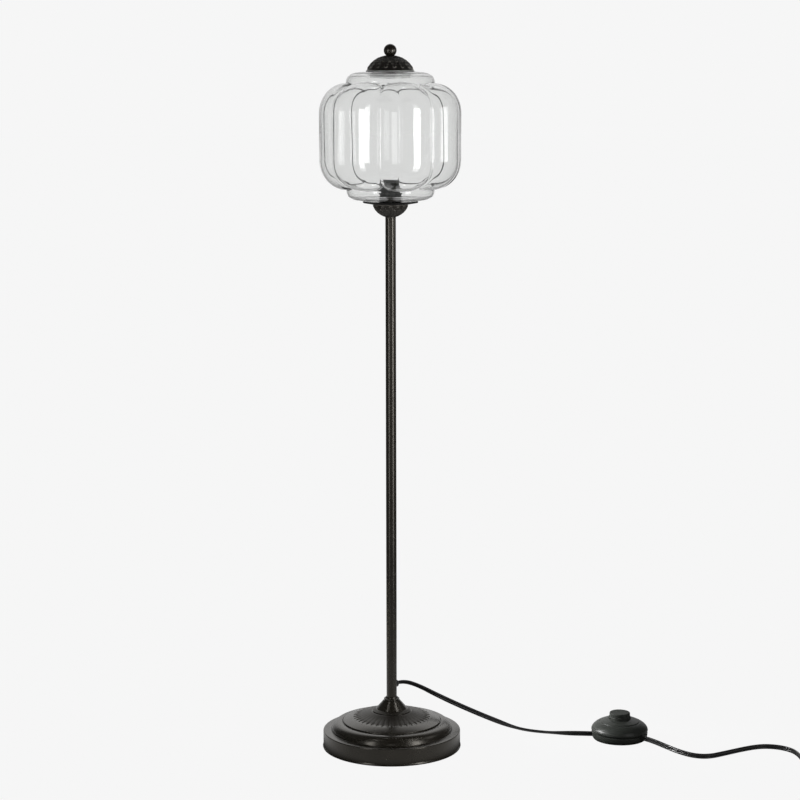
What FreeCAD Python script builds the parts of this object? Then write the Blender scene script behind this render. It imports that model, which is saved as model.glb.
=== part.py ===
import FreeCAD, Part
import math
import os

Vector = FreeCAD.Vector
UP = Vector(0, 0, 1)
ORIGIN = Vector(0, 0, 0)

# All sizes are in millimetres. The lamp stands on z = 0 with its pole on the Z axis, and its front faces -Y.

# Play between pieces
thread_gap = 0.1  # radial, in a screwed joint
slip_gap = 0.3  # radial, between pieces that drop over or slide in each other

# Weighted base
pad_thickness = 2.0
pad_margin = 2.0  # from the shell's inside to the edge of the pad
base_radius = 80.0
base_wall = 1.6
base_floor_gap = 0.8  # from the floor to the edge of the shell
base_side_height = 21.0
base_edge_round = 1.4
base_bead = 0.7  # how far the rolled bottom edge stands out
base_bead_height = 2.4
swell_radius = 70.5  # foot of the swelling above the ledge
swell_top_radius = 57.0
swell_rise = 10.0
swell_bow = 3.3  # how far its side stands out from a straight slope
step_rise = 1.2  # small upright step inside the swelling
plate_radius = 46.0  # outside of the fluted ring
plate_rise = 3.8
flute_top_radius = 28.0
flute_rise = 6.2
crown_radius = 25.0
crown_rise = 0.9
ballast_pocket_radius = 14.0
ballast_pocket_depth = 8.5

# Screwed pipe, nuts and washers, M10 x 1
nipple_radius = 5.0
nipple_bore_radius = 3.6
nut_across_flats = 14.0
nut_height = 4.0
washer_radius = 11.0
washer_thickness = 1.5
lock_washer_radius = 9.0
lock_washer_thickness = 0.9
lock_washer_teeth = 10
nipple_end = 0.6  # pipe showing past its nut
pipe_in_pole = 10.0

# Flared cone and ring at the foot of the pole
cone_foot_radius = 23.4
cone_foot_height = 1.4
cone_height = 14.0
cone_top_radius = 10.8
cone_bow = -1.8  # drawn in from a straight slope
cone_lip = 1.0
cone_wall = 2.0
ring_radius = 9.3
ring_height = 3.3
ring_edge = 0.8  # upright side below the ring's slope
ring_land = 0.6  # flat top of the ring round the pole
ring_floor = 1.0

# Pole
pole_radius = 6.0
pole_bore_radius = 4.2
pole_length = 559.2

# Cord and the bush where it leaves the pole
cord_diameter = 4.4  # flat twin flex, taken as a round section of equal area
cord_hole_height = 74.3
cord_hole_angle = 45.0  # from +X towards +Y, so it is on the far right
bush_radius = 3.4
bush_flange_radius = 4.3
bush_flange_reach = 1.6
cord_gap = 0.15  # radial, where the cord passes through a hole
pole_run_out = 11.0  # straight way out of the pole

# Cup and dish under the glass
cup_radius = 20.4
cup_foot_radius = 6.0
cup_depth = 14.0
cup_bow = 2.5  # how far its side stands out from a straight slope
cup_wall = 1.2
cup_floor = 2.4
dish_radius = 31.2
dish_flat_radius = 20.6
dish_gap = 0.4  # from the rim of the dish to the glass
dish_thickness = 1.0

# Lampholder for an E14 lamp
holder_boss_radius = 8.0
holder_boss_height = 4.0
holder_radius = 10.0
holder_wall = 1.2
holder_cap_height = 7.0
skirt_length = 24.0
skirt_thread_radius = 10.9
skirt_thread_length = 16.0
insert_height = 15.0
insert_recess_radius = 6.6
insert_recess_depth = 3.5
insert_chamber_radius = 6.5
insert_chamber_depth = 6.0
socket_radius = 7.0
socket_wall = 0.5
socket_length = 13.0
contact_length = 9.0
contact_width = 3.0
contact_thickness = 0.5
contact_lift = 2.2
shade_ring_radius = 13.2
shade_ring_waist_radius = 12.2
shade_ring_height = 6.6
shade_ring_flange = 2.0
washer_fibre_thickness = 1.0
washer_fibre_margin = 0.4
gasket_thickness = 2.4
gasket_width = 4.4

# Lobed glass
glass_height = 145.8
glass_wall = 3.0
glass_foot_hole_radius = 11.5
glass_neck_radius = 23.4
collar_radius = 50.2
collar_rise = 13.1  # also the radius of the collar's rounded edge
lobe_count = 8
lobe_radius = 46.0
lobe_offset = 34.6  # from the pole's axis to a lobe's axis
lobe_edge_round = 33.0
lobe_first_angle = -76.2  # from +X towards +Y

# Lift-off cap and its ball
cap_radius = 27.5
cap_rise = 16.5
cap_bow = 4.6
cap_wall = 1.2
cap_gasket_thickness = 1.0
cap_gasket_width = 3.2
seat_thickness = 1.0
seat_margin = 1.2  # from the dome's inside to the edge of the seat
seat_collar_wall = 1.0
seat_collar_depth = 6.8
vent_count = 6
vent_radius = 3.0
vent_circle_radius = 13.0
ball_radius = 7.25
ball_seat_radius = 3.7
stud_radius = 1.9
stud_in_ball = 5.0
finial_nut_across_flats = 7.0
finial_nut_height = 3.2

# Foot switch
switch_x = 270.0
switch_y = 29.0
switch_radius = 33.5
switch_tray_radius = 30.4  # at the floor of the tray
switch_tray_bow = 0.4
switch_wall = 2.0
switch_seam_height = 8.3
switch_foot_radius = 5.0
switch_foot_height = 1.5
switch_foot_inlet = 0.5
switch_foot_circle = 23.5
switch_foot_count = 4
switch_foot_angle = 25.0
switch_dome_rise = 15.7
switch_dome_bow = 3.8
switch_collar_radius = 16.5
switch_collar_thickness = 2.2
button_radius = 12.85
button_low_height = 3.4
button_tier_radius = 12.1
button_tier_height = 4.2
button_round = 1.2
button_travel = 3.5
button_flange_margin = 2.0
button_flange_thickness = 1.6
button_stem_radius = 3.0
latch_side = 18.0
latch_height = 9.0
latch_floor = 1.4
spring_radius = 5.2
spring_wire_radius = 0.45
spring_turns = 4
contact_strip_thickness = 0.8
contact_strip_width = 6.0
contact_strip_height = 7.0
terminal_head_radius = 2.0
terminal_head_height = 1.4
terminal_shank_radius = 1.2
terminal_shank_length = 4.5
cord_entry_height = 5.0
cord_entry_angles = (180.0, -42.0)  # from the pole, and on to the plug
cord_inside = 13.0  # length of cord inside the switch's wall
cord_run_out = 8.0  # straight way out of the switch
clamp_circle = 24.0
clamp_length = 4.0
clamp_width = 13.0
clamp_thickness = 2.0
clamp_post_radius = 1.9
clamp_screw_radius = 1.0
clamp_screw_depth = 3.4
clamp_head_radius = 1.8
clamp_head_height = 1.2
housing_screw_circle = 22.0
housing_screw_angles = (70.0, 250.0)
housing_screw_radius = 1.4
housing_screw_length = 9.0
housing_head_radius = 2.8
housing_head_height = 1.2
boss_radius = 3.4

# Put-away coil of the cord, its tie and the plug
coil_turns = 3  # in each of the two layers, and half a turn more between them
coil_mean_radius = 31.1
coil_pitch = 4.9
coil_centre_x = 508.4
coil_centre_y = -80.0
tie_thickness = 0.6
tie_width = 8.0
tie_gap = 0.8
plug_width = 35.0
plug_rear_width = 16.0
plug_height = 13.7
plug_length = 30.0
plug_shoulder = 12.0
plug_round = 2.0
plug_pin_radius = 2.0
plug_pin_length = 19.0
plug_pin_spacing = 18.6
relief_length = 24.0
tail_length = 26.0
relief_front_radius = 3.4
relief_rear_radius = 5.2

# Places worked out from the sizes
crown_top = base_side_height + swell_rise + step_rise + plate_rise + flute_rise + crown_rise
ballast_top = base_side_height - base_wall
pocket_top = pad_thickness + ballast_pocket_depth
washer_bottom = pocket_top - washer_thickness
lock_washer_bottom = washer_bottom - lock_washer_thickness
base_nut_bottom = lock_washer_bottom - nut_height
cone_top = crown_top + cone_height
pole_foot = cone_top + ring_floor
pole_top = pole_foot + pole_length
cup_rim = pole_top + cup_depth
gallery_nut_bottom = pole_top + cup_floor
holder_foot = gallery_nut_bottom + nut_height
holder_floor = holder_foot + holder_boss_height + holder_wall
skirt_foot = holder_foot + holder_boss_height + holder_cap_height
insert_top = holder_floor + insert_height
socket_top = insert_top + socket_length
cap_clear_radius = holder_radius - holder_wall
dish_top = cup_rim + dish_thickness
glass_foot = dish_top + gasket_thickness
dish_rim = glass_foot - dish_gap
glass_top = glass_foot + glass_height
shade_ring_foot = glass_foot + glass_wall + washer_fibre_thickness
cap_foot = glass_top + cap_gasket_thickness
cap_top = cap_foot + cap_rise
seat_collar_radius = glass_neck_radius - 2 * slip_gap
ball_height = cap_top + math.sqrt(ball_radius**2 - ball_seat_radius**2)
switch_floor = switch_foot_height - switch_foot_inlet
switch_inside = switch_floor + switch_wall
switch_top = switch_seam_height + switch_dome_rise
button_stop = switch_top - switch_collar_thickness
button_foot = button_stop - slip_gap - button_flange_thickness
button_hole_radius = button_radius + slip_gap
button_stem_foot = switch_inside + latch_floor + slip_gap + button_travel
latch_top = switch_inside + latch_height
cord_radius = cord_diameter / 2
coil_low = tie_thickness + tie_gap + cord_radius
coil_high = coil_low + coil_pitch
coil_outer_radius = coil_mean_radius + (coil_turns + 0.5) / 2 * coil_pitch
coil_inner_radius = coil_outer_radius - (coil_turns + 0.25) * coil_pitch
coil_start = Vector(coil_centre_x - coil_outer_radius, coil_centre_y, coil_low)
coil_end = Vector(coil_centre_x + coil_outer_radius, coil_centre_y, coil_high)
plug_axis_height = plug_height / 2


def turned(outline):
    """Solid of revolution about Z from a start point (radius, height), then one point for each straight
    side, or a way point and an end point together for each arc."""
    first = Vector(outline[0][0], 0, outline[0][1])
    here = first
    edges = []
    for step in outline[1:]:
        if isinstance(step[0], tuple):
            way = Vector(step[0][0], 0, step[0][1])
            there = Vector(step[1][0], 0, step[1][1])
            edges.append(Part.Arc(here, way, there).toShape())
        else:
            there = Vector(step[0], 0, step[1])
            edges.append(Part.LineSegment(here, there).toShape())
        here = there
    edges.append(Part.LineSegment(here, first).toShape())
    return Part.Face(Part.Wire(edges)).revolve(ORIGIN, UP, 360)


def bowed(start, end, bow):
    """Arc step of an outline whose middle stands out by bow from the straight line between its ends."""
    across = end[0] - start[0]
    up = end[1] - start[1]
    length = math.hypot(across, up)
    middle = ((start[0] + end[0]) / 2 + up / length * bow, (start[1] + end[1]) / 2 - across / length * bow)
    return (middle, end)


def disc(radius, low, high, x=0.0, y=0.0):
    return Part.makeCylinder(radius, high - low, Vector(x, y, low))


def ring(inner, outer, low, high):
    return disc(outer, low, high).cut(disc(inner, low, high))


def box(x0, x1, y0, y1, z0, z1):
    return Part.makeBox(x1 - x0, y1 - y0, z1 - z0, Vector(x0, y0, z0))


def spun(shape, angle):
    """A copy turned about Z."""
    copy = shape.copy()
    copy.rotate(ORIGIN, UP, angle)
    return copy


def moved(shape, x, y, z=0.0):
    copy = shape.copy()
    copy.translate(Vector(x, y, z))
    return copy


def around(shape, count, first=0.0):
    """Copies of a shape spaced evenly about Z."""
    return [spun(shape, first + 360.0 / count * i) for i in range(count)]


def polar(radius, angle, height=0.0):
    turn = math.radians(angle)
    return Vector(radius * math.cos(turn), radius * math.sin(turn), height)


def hexagon_nut(across_flats, bore, low, height):
    corner = across_flats / math.sqrt(3)
    corners = [polar(corner, 60 * i, low) for i in range(7)]
    body = Part.Face(Part.makePolygon(corners)).extrude(UP * height)
    return body.cut(disc(bore, low, low + height))


# Weighted base


def base_form(inset):
    """The outside of the base, or with an inset the hollow under its wall."""
    foot = base_floor_gap
    side = base_radius - inset
    ledge = base_side_height - inset
    corner = base_edge_round * (1 - math.sqrt(0.5))
    swell_foot = (swell_radius - inset, ledge)
    swell_top = (swell_top_radius - inset, ledge + swell_rise)
    plate_low = ledge + swell_rise + step_rise
    plate_high = plate_low + plate_rise
    flute_high = plate_high + flute_rise
    crown = flute_high + crown_rise
    return turned(
        [
            (0, foot),
            (side, foot),
            (side, ledge - base_edge_round),
            ((side - corner, ledge - corner), (side - base_edge_round, ledge)),
            swell_foot,
            bowed(swell_foot, swell_top, swell_bow),
            (swell_top[0], plate_low),
            (plate_radius - inset, plate_high),
            (flute_top_radius - inset, flute_high),
            (crown_radius - inset, crown),
            (0, crown),
        ]
    )


def base_shell():
    half = base_bead_height / 2
    low = base_floor_gap
    bead = turned(
        [
            (base_radius - base_wall, low),
            (base_radius, low),
            ((base_radius + base_bead, low + half), (base_radius, low + base_bead_height)),
            (base_radius - base_wall, low + base_bead_height),
        ]
    )
    shell = base_form(0).cut(base_form(base_wall)).fuse(bead).removeSplitter()
    return shell.cut(disc(nipple_radius + slip_gap, 0, crown_top))


def ballast_weight():
    weight = disc(base_radius - base_wall - slip_gap, pad_thickness, ballast_top)
    edge = slip_gap + base_edge_round
    rim = ring(base_radius - base_wall - edge, base_radius, ballast_top - edge, ballast_top)
    pocket = disc(ballast_pocket_radius, pad_thickness, pocket_top)
    return weight.cut(rim).cut(pocket).cut(disc(nipple_radius + slip_gap, 0, ballast_top))


def base_pad():
    return disc(base_radius - base_wall - pad_margin, 0, pad_thickness)


def base_washer():
    return ring(nipple_radius + slip_gap, washer_radius, washer_bottom, pocket_top)


def base_lock_washer():
    """Star washer with square teeth around its outside."""
    low = lock_washer_bottom
    high = washer_bottom
    tooth = math.pi * lock_washer_radius / lock_washer_teeth / 2
    notch_depth = lock_washer_radius - nipple_radius
    notch = box(lock_washer_radius - notch_depth / 2, lock_washer_radius + 1, -tooth, tooth, low, high)
    washer = ring(nipple_radius + slip_gap, lock_washer_radius, low, high)
    return washer.cut(around(notch, lock_washer_teeth))


def base_nut():
    return hexagon_nut(nut_across_flats, nipple_radius, base_nut_bottom, nut_height)


def pipe(low, high):
    return ring(nipple_bore_radius, nipple_radius - thread_gap, low, high)


def base_nipple():
    return pipe(base_nut_bottom - nipple_end, pole_foot + pipe_in_pole)


# Pole and its foot


def base_cone():
    """Hollow flared cone that stands on the crown of the base."""
    foot = crown_top
    shoulder = cone_top - cone_foot_height
    lip = (cone_foot_radius - cone_lip, foot + cone_foot_height)
    form = turned(
        [
            (0, foot),
            (cone_foot_radius, foot),
            lip,
            bowed(lip, (cone_top_radius, shoulder), cone_bow),
            (cone_top_radius - cone_foot_height, cone_top),
            (0, cone_top),
        ]
    )
    hollow = turned(
        [
            (0, foot),
            (cone_foot_radius - 2 * cone_wall, foot),
            (cone_top_radius - cone_wall, shoulder - cone_wall),
            (0, shoulder - cone_wall),
        ]
    )
    return form.cut(hollow).cut(disc(nipple_radius + slip_gap, foot, cone_top))


def neck_ring():
    """Sloping ring between the cone and the pole."""
    top = cone_top + ring_height
    seat_radius = pole_radius + thread_gap
    body = turned(
        [
            (0, cone_top),
            (ring_radius, cone_top),
            (ring_radius, cone_top + ring_edge),
            (seat_radius + ring_land, top),
            (0, top),
        ]
    )
    seat = disc(seat_radius, pole_foot, top)
    return body.cut(seat).cut(disc(nipple_radius + slip_gap, cone_top, top))


def across_pole(radius, start, reach):
    """Round bar along the cord's way out of the pole."""
    way = polar(1, cord_hole_angle)
    return Part.makeCylinder(radius, reach, way * start + UP * cord_hole_height, way)


def pole_tube():
    tube = ring(pole_bore_radius, pole_radius, pole_foot, pole_top)
    lower = disc(nipple_radius, pole_foot, pole_foot + pipe_in_pole)
    upper = disc(nipple_radius, pole_top - pipe_in_pole, pole_top)
    return tube.cut([lower, upper, across_pole(bush_radius + thread_gap, 0, 2 * pole_radius)])


def cord_bush():
    """Flanged bush whose inner face follows the outside of the pole."""
    end = pole_radius + bush_flange_reach
    stem = across_pole(bush_radius, pole_bore_radius, end - pole_bore_radius)
    flange = across_pole(bush_flange_radius, 0, end).cut(disc(pole_radius + thread_gap, 0, pole_top))
    bore = across_pole(cord_radius + cord_gap, 0, end)
    return stem.fuse(flange).removeSplitter().cut(bore)


# Cup, dish and lampholder


def gallery_cup():
    """Round bowl on the end of the pole, open at the top."""
    foot = (cup_foot_radius, pole_top)
    rim = (cup_radius, cup_rim)
    outer = turned([(0, pole_top), foot, bowed(foot, rim, cup_bow), (0, cup_rim)])
    inner_foot = (cup_foot_radius, pole_top + cup_wall)
    inner_rim = (cup_radius - cup_wall, cup_rim)
    inner = turned([(0, inner_foot[1]), inner_foot, bowed(inner_foot, inner_rim, cup_bow), (0, cup_rim)])
    hollow = inner.cut(disc(cup_radius, pole_top, pole_top + cup_floor))
    return outer.cut(hollow).cut(disc(nipple_radius + slip_gap, pole_top, cup_rim))


def gallery_nipple():
    return pipe(pole_top - pipe_in_pole, holder_foot + holder_boss_height)


def gallery_nut():
    return hexagon_nut(nut_across_flats, nipple_radius, gallery_nut_bottom, nut_height)


def shade_dish():
    return turned(
        [
            (skirt_thread_radius + slip_gap, cup_rim),
            (dish_flat_radius, cup_rim),
            (dish_radius, dish_rim - dish_thickness),
            (dish_radius, dish_rim),
            (dish_flat_radius, dish_top),
            (skirt_thread_radius + slip_gap, dish_top),
        ]
    )


def lower_gasket():
    inner = skirt_thread_radius + 2 * slip_gap
    return ring(inner, inner + gasket_width, dish_top, glass_foot)


def fibre_washer():
    inner = skirt_thread_radius + slip_gap
    low = glass_foot + glass_wall
    return ring(inner, shade_ring_radius - washer_fibre_margin, low, shade_ring_foot)


def shade_ring():
    """Threaded ring with a flange at each end, which holds the glass down."""
    top = shade_ring_foot + shade_ring_height
    waist = ring(shade_ring_waist_radius, shade_ring_radius, shade_ring_foot + shade_ring_flange,
                 top - shade_ring_flange)
    body = ring(skirt_thread_radius + thread_gap, shade_ring_radius, shade_ring_foot, top)
    return body.cut(waist)


def holder_cap():
    """Lower half of the lampholder, screwed on the pipe."""
    floor = holder_foot + holder_boss_height
    boss = disc(holder_boss_radius, holder_foot, floor)
    cup = disc(holder_radius, floor, skirt_foot).cut(disc(cap_clear_radius, holder_floor, skirt_foot))
    return boss.fuse(cup).removeSplitter().cut(disc(nipple_radius, holder_foot, holder_floor))


def holder_skirt():
    """Upper half of the lampholder, with the thread for the shade ring."""
    top = skirt_foot + skirt_length
    body = disc(holder_radius, skirt_foot, top)
    thread = disc(skirt_thread_radius, skirt_foot, skirt_foot + skirt_thread_length)
    body = body.fuse(thread).removeSplitter()
    body = body.cut(disc(cap_clear_radius, skirt_foot, insert_top))
    return body.cut(disc(socket_radius + socket_wall + slip_gap, insert_top, top))


def holder_insert():
    body = disc(cap_clear_radius - slip_gap, holder_floor, insert_top)
    recess = disc(insert_recess_radius, insert_top - insert_recess_depth, insert_top)
    chamber = disc(insert_chamber_radius, holder_floor, holder_floor + insert_chamber_depth)
    return body.cut([recess, chamber])


def screw_shell():
    return ring(socket_radius, socket_radius + socket_wall, insert_top, socket_top)


def centre_contact():
    """Bent leaf on the floor of the insert."""
    low = insert_top - insert_recess_depth
    half = contact_length / 2
    thick = contact_thickness
    side = contact_width / 2
    base = box(-half, half, -side, side, low, low + thick)
    riser = box(-half, -half + thick, -side, side, low, low + contact_lift)
    tongue = box(-half, half / 2, -side, side, low + contact_lift - thick, low + contact_lift)
    return base.fuse([riser, tongue]).removeSplitter()


# Glass


def round_edged(radius, edge, low, high):
    """Upright drum with rounded edges."""
    corner = edge * (1 - math.sqrt(0.5))
    return turned(
        [
            (0, low),
            (radius - edge, low),
            ((radius - corner, low + corner), (radius, low + edge)),
            (radius, high - edge),
            ((radius - corner, high - corner), (radius - edge, high)),
            (0, high),
        ]
    )


def glass_form(inset):
    """Collared drum with a ring of rounded upright lobes, or with an inset the hollow inside it."""
    low = glass_foot + inset
    high = glass_top - inset
    drum = round_edged(collar_radius - inset, collar_rise - inset, low, high)
    lobe_low = low + collar_rise
    lobe_high = high - collar_rise
    lobe = round_edged(lobe_radius - inset, lobe_edge_round - inset, lobe_low, lobe_high)
    lobes = around(moved(lobe, lobe_offset, 0), lobe_count, lobe_first_angle)
    return drum.multiFuse(lobes)


def glass_shade():
    foot_hole = disc(glass_foot_hole_radius, glass_foot, glass_foot + glass_height / 2)
    neck_hole = disc(glass_neck_radius, glass_foot + glass_height / 2, glass_top)
    return glass_form(0).cut(glass_form(glass_wall)).cut([foot_hole, neck_hole])


# Lift-off cap


def cap_gasket():
    return ring(cap_radius - cap_gasket_width, cap_radius - slip_gap, glass_top, cap_foot)


def seat_plate():
    """Vented plate under the dome, with a collar that drops into the neck of the glass."""
    top = cap_foot + seat_thickness
    plate = disc(cap_radius - cap_wall - seat_margin, cap_foot, top)
    collar_inside = seat_collar_radius - seat_collar_wall
    collar = ring(collar_inside, seat_collar_radius, cap_foot - seat_collar_depth, cap_foot)
    vent = disc(vent_radius, cap_foot, top, vent_circle_radius)
    holes = around(vent, vent_count) + [disc(stud_radius + thread_gap, cap_foot, top)]
    return plate.fuse(collar).removeSplitter().cut(holes)


def dome_form(inset):
    """Low dome with its edge on the gasket, or with an inset the hollow inside it."""
    edge = (cap_radius - inset, cap_foot)
    top = cap_top - inset
    return turned([(0, cap_foot), edge, bowed(edge, (ball_seat_radius, top), cap_bow), (0, top)])


def cap_dome():
    return dome_form(0).cut(dome_form(cap_wall)).cut(disc(stud_radius + thread_gap, cap_foot, cap_top))


def finial_ball():
    ball = Part.makeSphere(ball_radius, Vector(0, 0, ball_height))
    ball = ball.cut(disc(ball_radius, cap_top - ball_radius, cap_top))
    return ball.cut(disc(stud_radius + thread_gap, cap_top, cap_top + stud_in_ball))


def finial_stud():
    return disc(stud_radius, cap_foot - finial_nut_height, cap_top + stud_in_ball)


def finial_nut():
    low = cap_foot - finial_nut_height
    return hexagon_nut(finial_nut_across_flats, stud_radius + thread_gap, low, finial_nut_height)


# Foot switch, made about its own axis


def cord_way(angle, radius, start, end):
    """Round bar along one of the switch's cord entries."""
    way = polar(1, angle)
    return Part.makeCylinder(radius, end - start, way * start + UP * cord_entry_height, way)


def clamp_places():
    """Centres of the four posts beside the two cord entries."""
    side = clamp_width / 2 - clamp_post_radius
    places = []
    for angle in cord_entry_angles:
        along = polar(clamp_circle, angle)
        across = polar(side, angle + 90)
        places += [along + across, along - across]
    return places


def housing_places():
    return [polar(housing_screw_circle, angle) for angle in housing_screw_angles]


def switch_bottom():
    """Tray of the foot switch, with the posts for its cord clamps."""
    low = switch_floor
    edge = 0.5 * switch_wall
    side = (switch_tray_radius, low + edge)
    tray = turned(
        [
            (0, low),
            (switch_tray_radius - edge, low),
            side,
            bowed(side, (switch_radius, switch_seam_height), switch_tray_bow),
            (switch_radius - switch_wall, switch_seam_height),
            (switch_tray_radius - switch_wall, switch_inside),
            (0, switch_inside),
        ]
    )
    post_top = cord_entry_height + cord_radius + cord_gap
    posts = []
    holes = [cord_way(angle, cord_radius + cord_gap, 0.6 * switch_radius, 1.2 * switch_radius)
             for angle in cord_entry_angles]
    for place in clamp_places():
        posts.append(disc(clamp_post_radius, switch_inside, post_top, place.x, place.y))
        holes.append(disc(clamp_screw_radius + thread_gap, post_top - clamp_screw_depth, post_top,
                          place.x, place.y))
    for place in housing_places():
        holes.append(disc(housing_screw_radius + slip_gap, low, switch_inside, place.x, place.y))
        holes.append(disc(housing_head_radius + slip_gap, low, low + housing_head_height, place.x, place.y))
    foot = disc(switch_foot_radius + thread_gap, low, low + switch_foot_inlet, switch_foot_circle)
    holes += around(foot, switch_foot_count, switch_foot_angle)
    return tray.fuse(posts).removeSplitter().cut(holes)


def switch_feet():
    foot = disc(switch_foot_radius, 0, switch_foot_height, switch_foot_circle)
    return Part.makeCompound(around(foot, switch_foot_count, switch_foot_angle))


def switch_dome_form(inset):
    edge = (switch_radius - inset, switch_seam_height)
    crown = (switch_collar_radius - inset, switch_top - inset)
    return turned([(0, switch_seam_height), edge, bowed(edge, crown, switch_dome_bow), (0, crown[1])])


def switch_dome():
    collar = disc(switch_collar_radius, button_stop, switch_top).common(switch_dome_form(0))
    shell = switch_dome_form(0).cut(switch_dome_form(switch_wall)).fuse(collar)
    bosses = []
    holes = [disc(button_hole_radius, switch_seam_height, switch_top)]
    for place in housing_places():
        boss = disc(boss_radius, switch_inside, switch_top, place.x, place.y)
        bosses.append(boss.common(switch_dome_form(0).fuse(disc(switch_radius, 0, switch_seam_height))))
        holes.append(disc(housing_screw_radius + thread_gap, switch_inside,
                          switch_floor + housing_head_height + housing_screw_length, place.x, place.y))
    return shell.fuse(bosses).removeSplitter().cut(holes)


def switch_button():
    """Two-tier cap with a hidden flange below the collar and a stem that enters the latch."""
    low = button_foot
    flange_top = low + button_flange_thickness
    shoulder = switch_top + button_low_height
    top = shoulder + button_tier_height
    bend = button_round * (1 - math.sqrt(0.5))
    cap = turned(
        [
            (0, low),
            (button_radius + button_flange_margin, low),
            (button_radius + button_flange_margin, flange_top),
            (button_radius, flange_top),
            (button_radius, shoulder - button_round),
            ((button_radius - bend, shoulder - bend), (button_radius - button_round, shoulder)),
            (button_tier_radius, shoulder),
            (button_tier_radius, top - button_round),
            ((button_tier_radius - bend, top - bend), (button_tier_radius - button_round, top)),
            (0, top),
        ]
    )
    return cap.fuse(disc(button_stem_radius, button_stem_foot, low)).removeSplitter()


def switch_latch():
    """Block of the push-push latch, with the bore for the button's stem."""
    half = latch_side / 2
    block = box(-half, half, -half, half, switch_inside, latch_top)
    bore = disc(button_stem_radius + slip_gap, switch_inside + latch_floor, latch_top)
    height = switch_inside + contact_strip_height / 2
    depth = half - terminal_shank_length
    holes = [terminal_bar(side, terminal_shank_radius + thread_gap, depth, half, height) for side in (1, -1)]
    return block.cut([bore] + holes)


def terminal_bar(side, radius, start, end, height):
    """Round bar along X on one side of the latch."""
    return Part.makeCylinder(radius, end - start, Vector(side * start, 0, height), Vector(side, 0, 0))


def switch_contacts():
    """Contact strips on two sides of the latch."""
    half = latch_side / 2
    wide = contact_strip_width / 2
    strip = box(half, half + contact_strip_thickness, -wide, wide, switch_inside,
                switch_inside + contact_strip_height)
    height = switch_inside + contact_strip_height / 2
    strip = strip.cut(terminal_bar(1, terminal_shank_radius + thread_gap, half, half + 1, height))
    return Part.makeCompound(around(strip, 2))


def switch_terminal_screws():
    face = latch_side / 2 + contact_strip_thickness
    height = switch_inside + contact_strip_height / 2
    head = terminal_bar(1, terminal_head_radius, face, face + terminal_head_height, height)
    shank_start = latch_side / 2 - terminal_shank_length
    shank = terminal_bar(1, terminal_shank_radius, shank_start, face, height)
    return Part.makeCompound(around(head.fuse(shank).removeSplitter(), 2))


def switch_spring():
    """Return spring about the stem, between the latch and the button."""
    low = latch_top + spring_wire_radius + thread_gap
    high = button_foot - spring_wire_radius - thread_gap
    pitch = (high - low) / spring_turns
    path = Part.makeHelix(pitch, high - low, spring_radius)
    start = Part.makeCircle(spring_wire_radius, Vector(spring_radius, 0, 0), Vector(0, 1, 0))
    wire = Part.Wire(path).makePipeShell([Part.Wire(start)], True, True)
    return moved(wire, 0, 0, low)


def switch_cord_clamps():
    low = cord_entry_height + cord_radius + cord_gap
    half = clamp_length / 2
    wide = clamp_width / 2
    bars = []
    for angle in cord_entry_angles:
        bar = box(clamp_circle - half, clamp_circle + half, -wide, wide, low, low + clamp_thickness)
        bars.append(spun(bar, angle))
    holes = [disc(clamp_screw_radius + thread_gap, low, low + clamp_thickness, place.x, place.y)
             for place in clamp_places()]
    return Part.makeCompound([bar.cut(holes) for bar in bars])


def switch_clamp_screws():
    seat = cord_entry_height + cord_radius + cord_gap + clamp_thickness
    screws = []
    for place in clamp_places():
        head = disc(clamp_head_radius, seat, seat + clamp_head_height, place.x, place.y)
        shank_low = seat - clamp_thickness - clamp_screw_depth
        shank = disc(clamp_screw_radius, shank_low, seat, place.x, place.y)
        screws.append(head.fuse(shank).removeSplitter())
    return Part.makeCompound(screws)


def switch_housing_screws():
    low = switch_floor
    screws = []
    for place in housing_places():
        head = disc(housing_head_radius, low, low + housing_head_height, place.x, place.y)
        shank = disc(housing_screw_radius, low, low + housing_head_height + housing_screw_length,
                     place.x, place.y)
        screws.append(head.fuse(shank).removeSplitter())
    return Part.makeCompound(screws)


def in_switch(shape):
    return moved(shape, switch_x, switch_y)


# Cord


def arc_between(start, corner, end):
    """Arc from start to end, tangent to the sides of the corner, which is as far from both."""
    middle = (start + end) * 0.5
    half_chord = start.distanceToPoint(end) / 2
    rise = corner.distanceToPoint(middle)
    turn = math.atan2(rise, half_chord)
    way = middle + (corner - middle) * (math.tan(turn / 2) / math.tan(turn))
    return Part.Arc(start, way, end).toShape()


def route(name, points):
    """Straight runs with tangent arcs, each as large as its two runs allow."""
    edges = []
    radii = []
    here = points[0]
    for before, corner, after in zip(points, points[1:], points[2:]):
        back = before - corner
        ahead = after - corner
        reach = 0.45 * min(back.Length, ahead.Length)
        turn = math.pi - back.getAngle(ahead)
        radii.append(reach / math.tan(turn / 2))
        start = corner + back.normalize() * reach
        end = corner + ahead.normalize() * reach
        edges.append(Part.LineSegment(here, start).toShape())
        edges.append(arc_between(start, corner, end))
        here = end
    edges.append(Part.LineSegment(here, points[-1]).toShape())
    print(name, "bend radii", [round(r, 1) for r in radii])
    return Part.Wire(edges)


def tube(name, path, tangent):
    """Round cord along a path."""
    start = path.Vertexes[0].Point
    section = Part.Wire(Part.makeCircle(cord_radius, start, tangent))
    body = path.makePipeShell([section], True, False)
    expected = math.pi * cord_radius**2 * path.Length
    print(name, "length", round(path.Length, 1), "volume ratio", round(body.Volume / expected, 5))
    return body


def stretch(name, points):
    return tube(name, route(name, points), points[1] - points[0])


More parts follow.
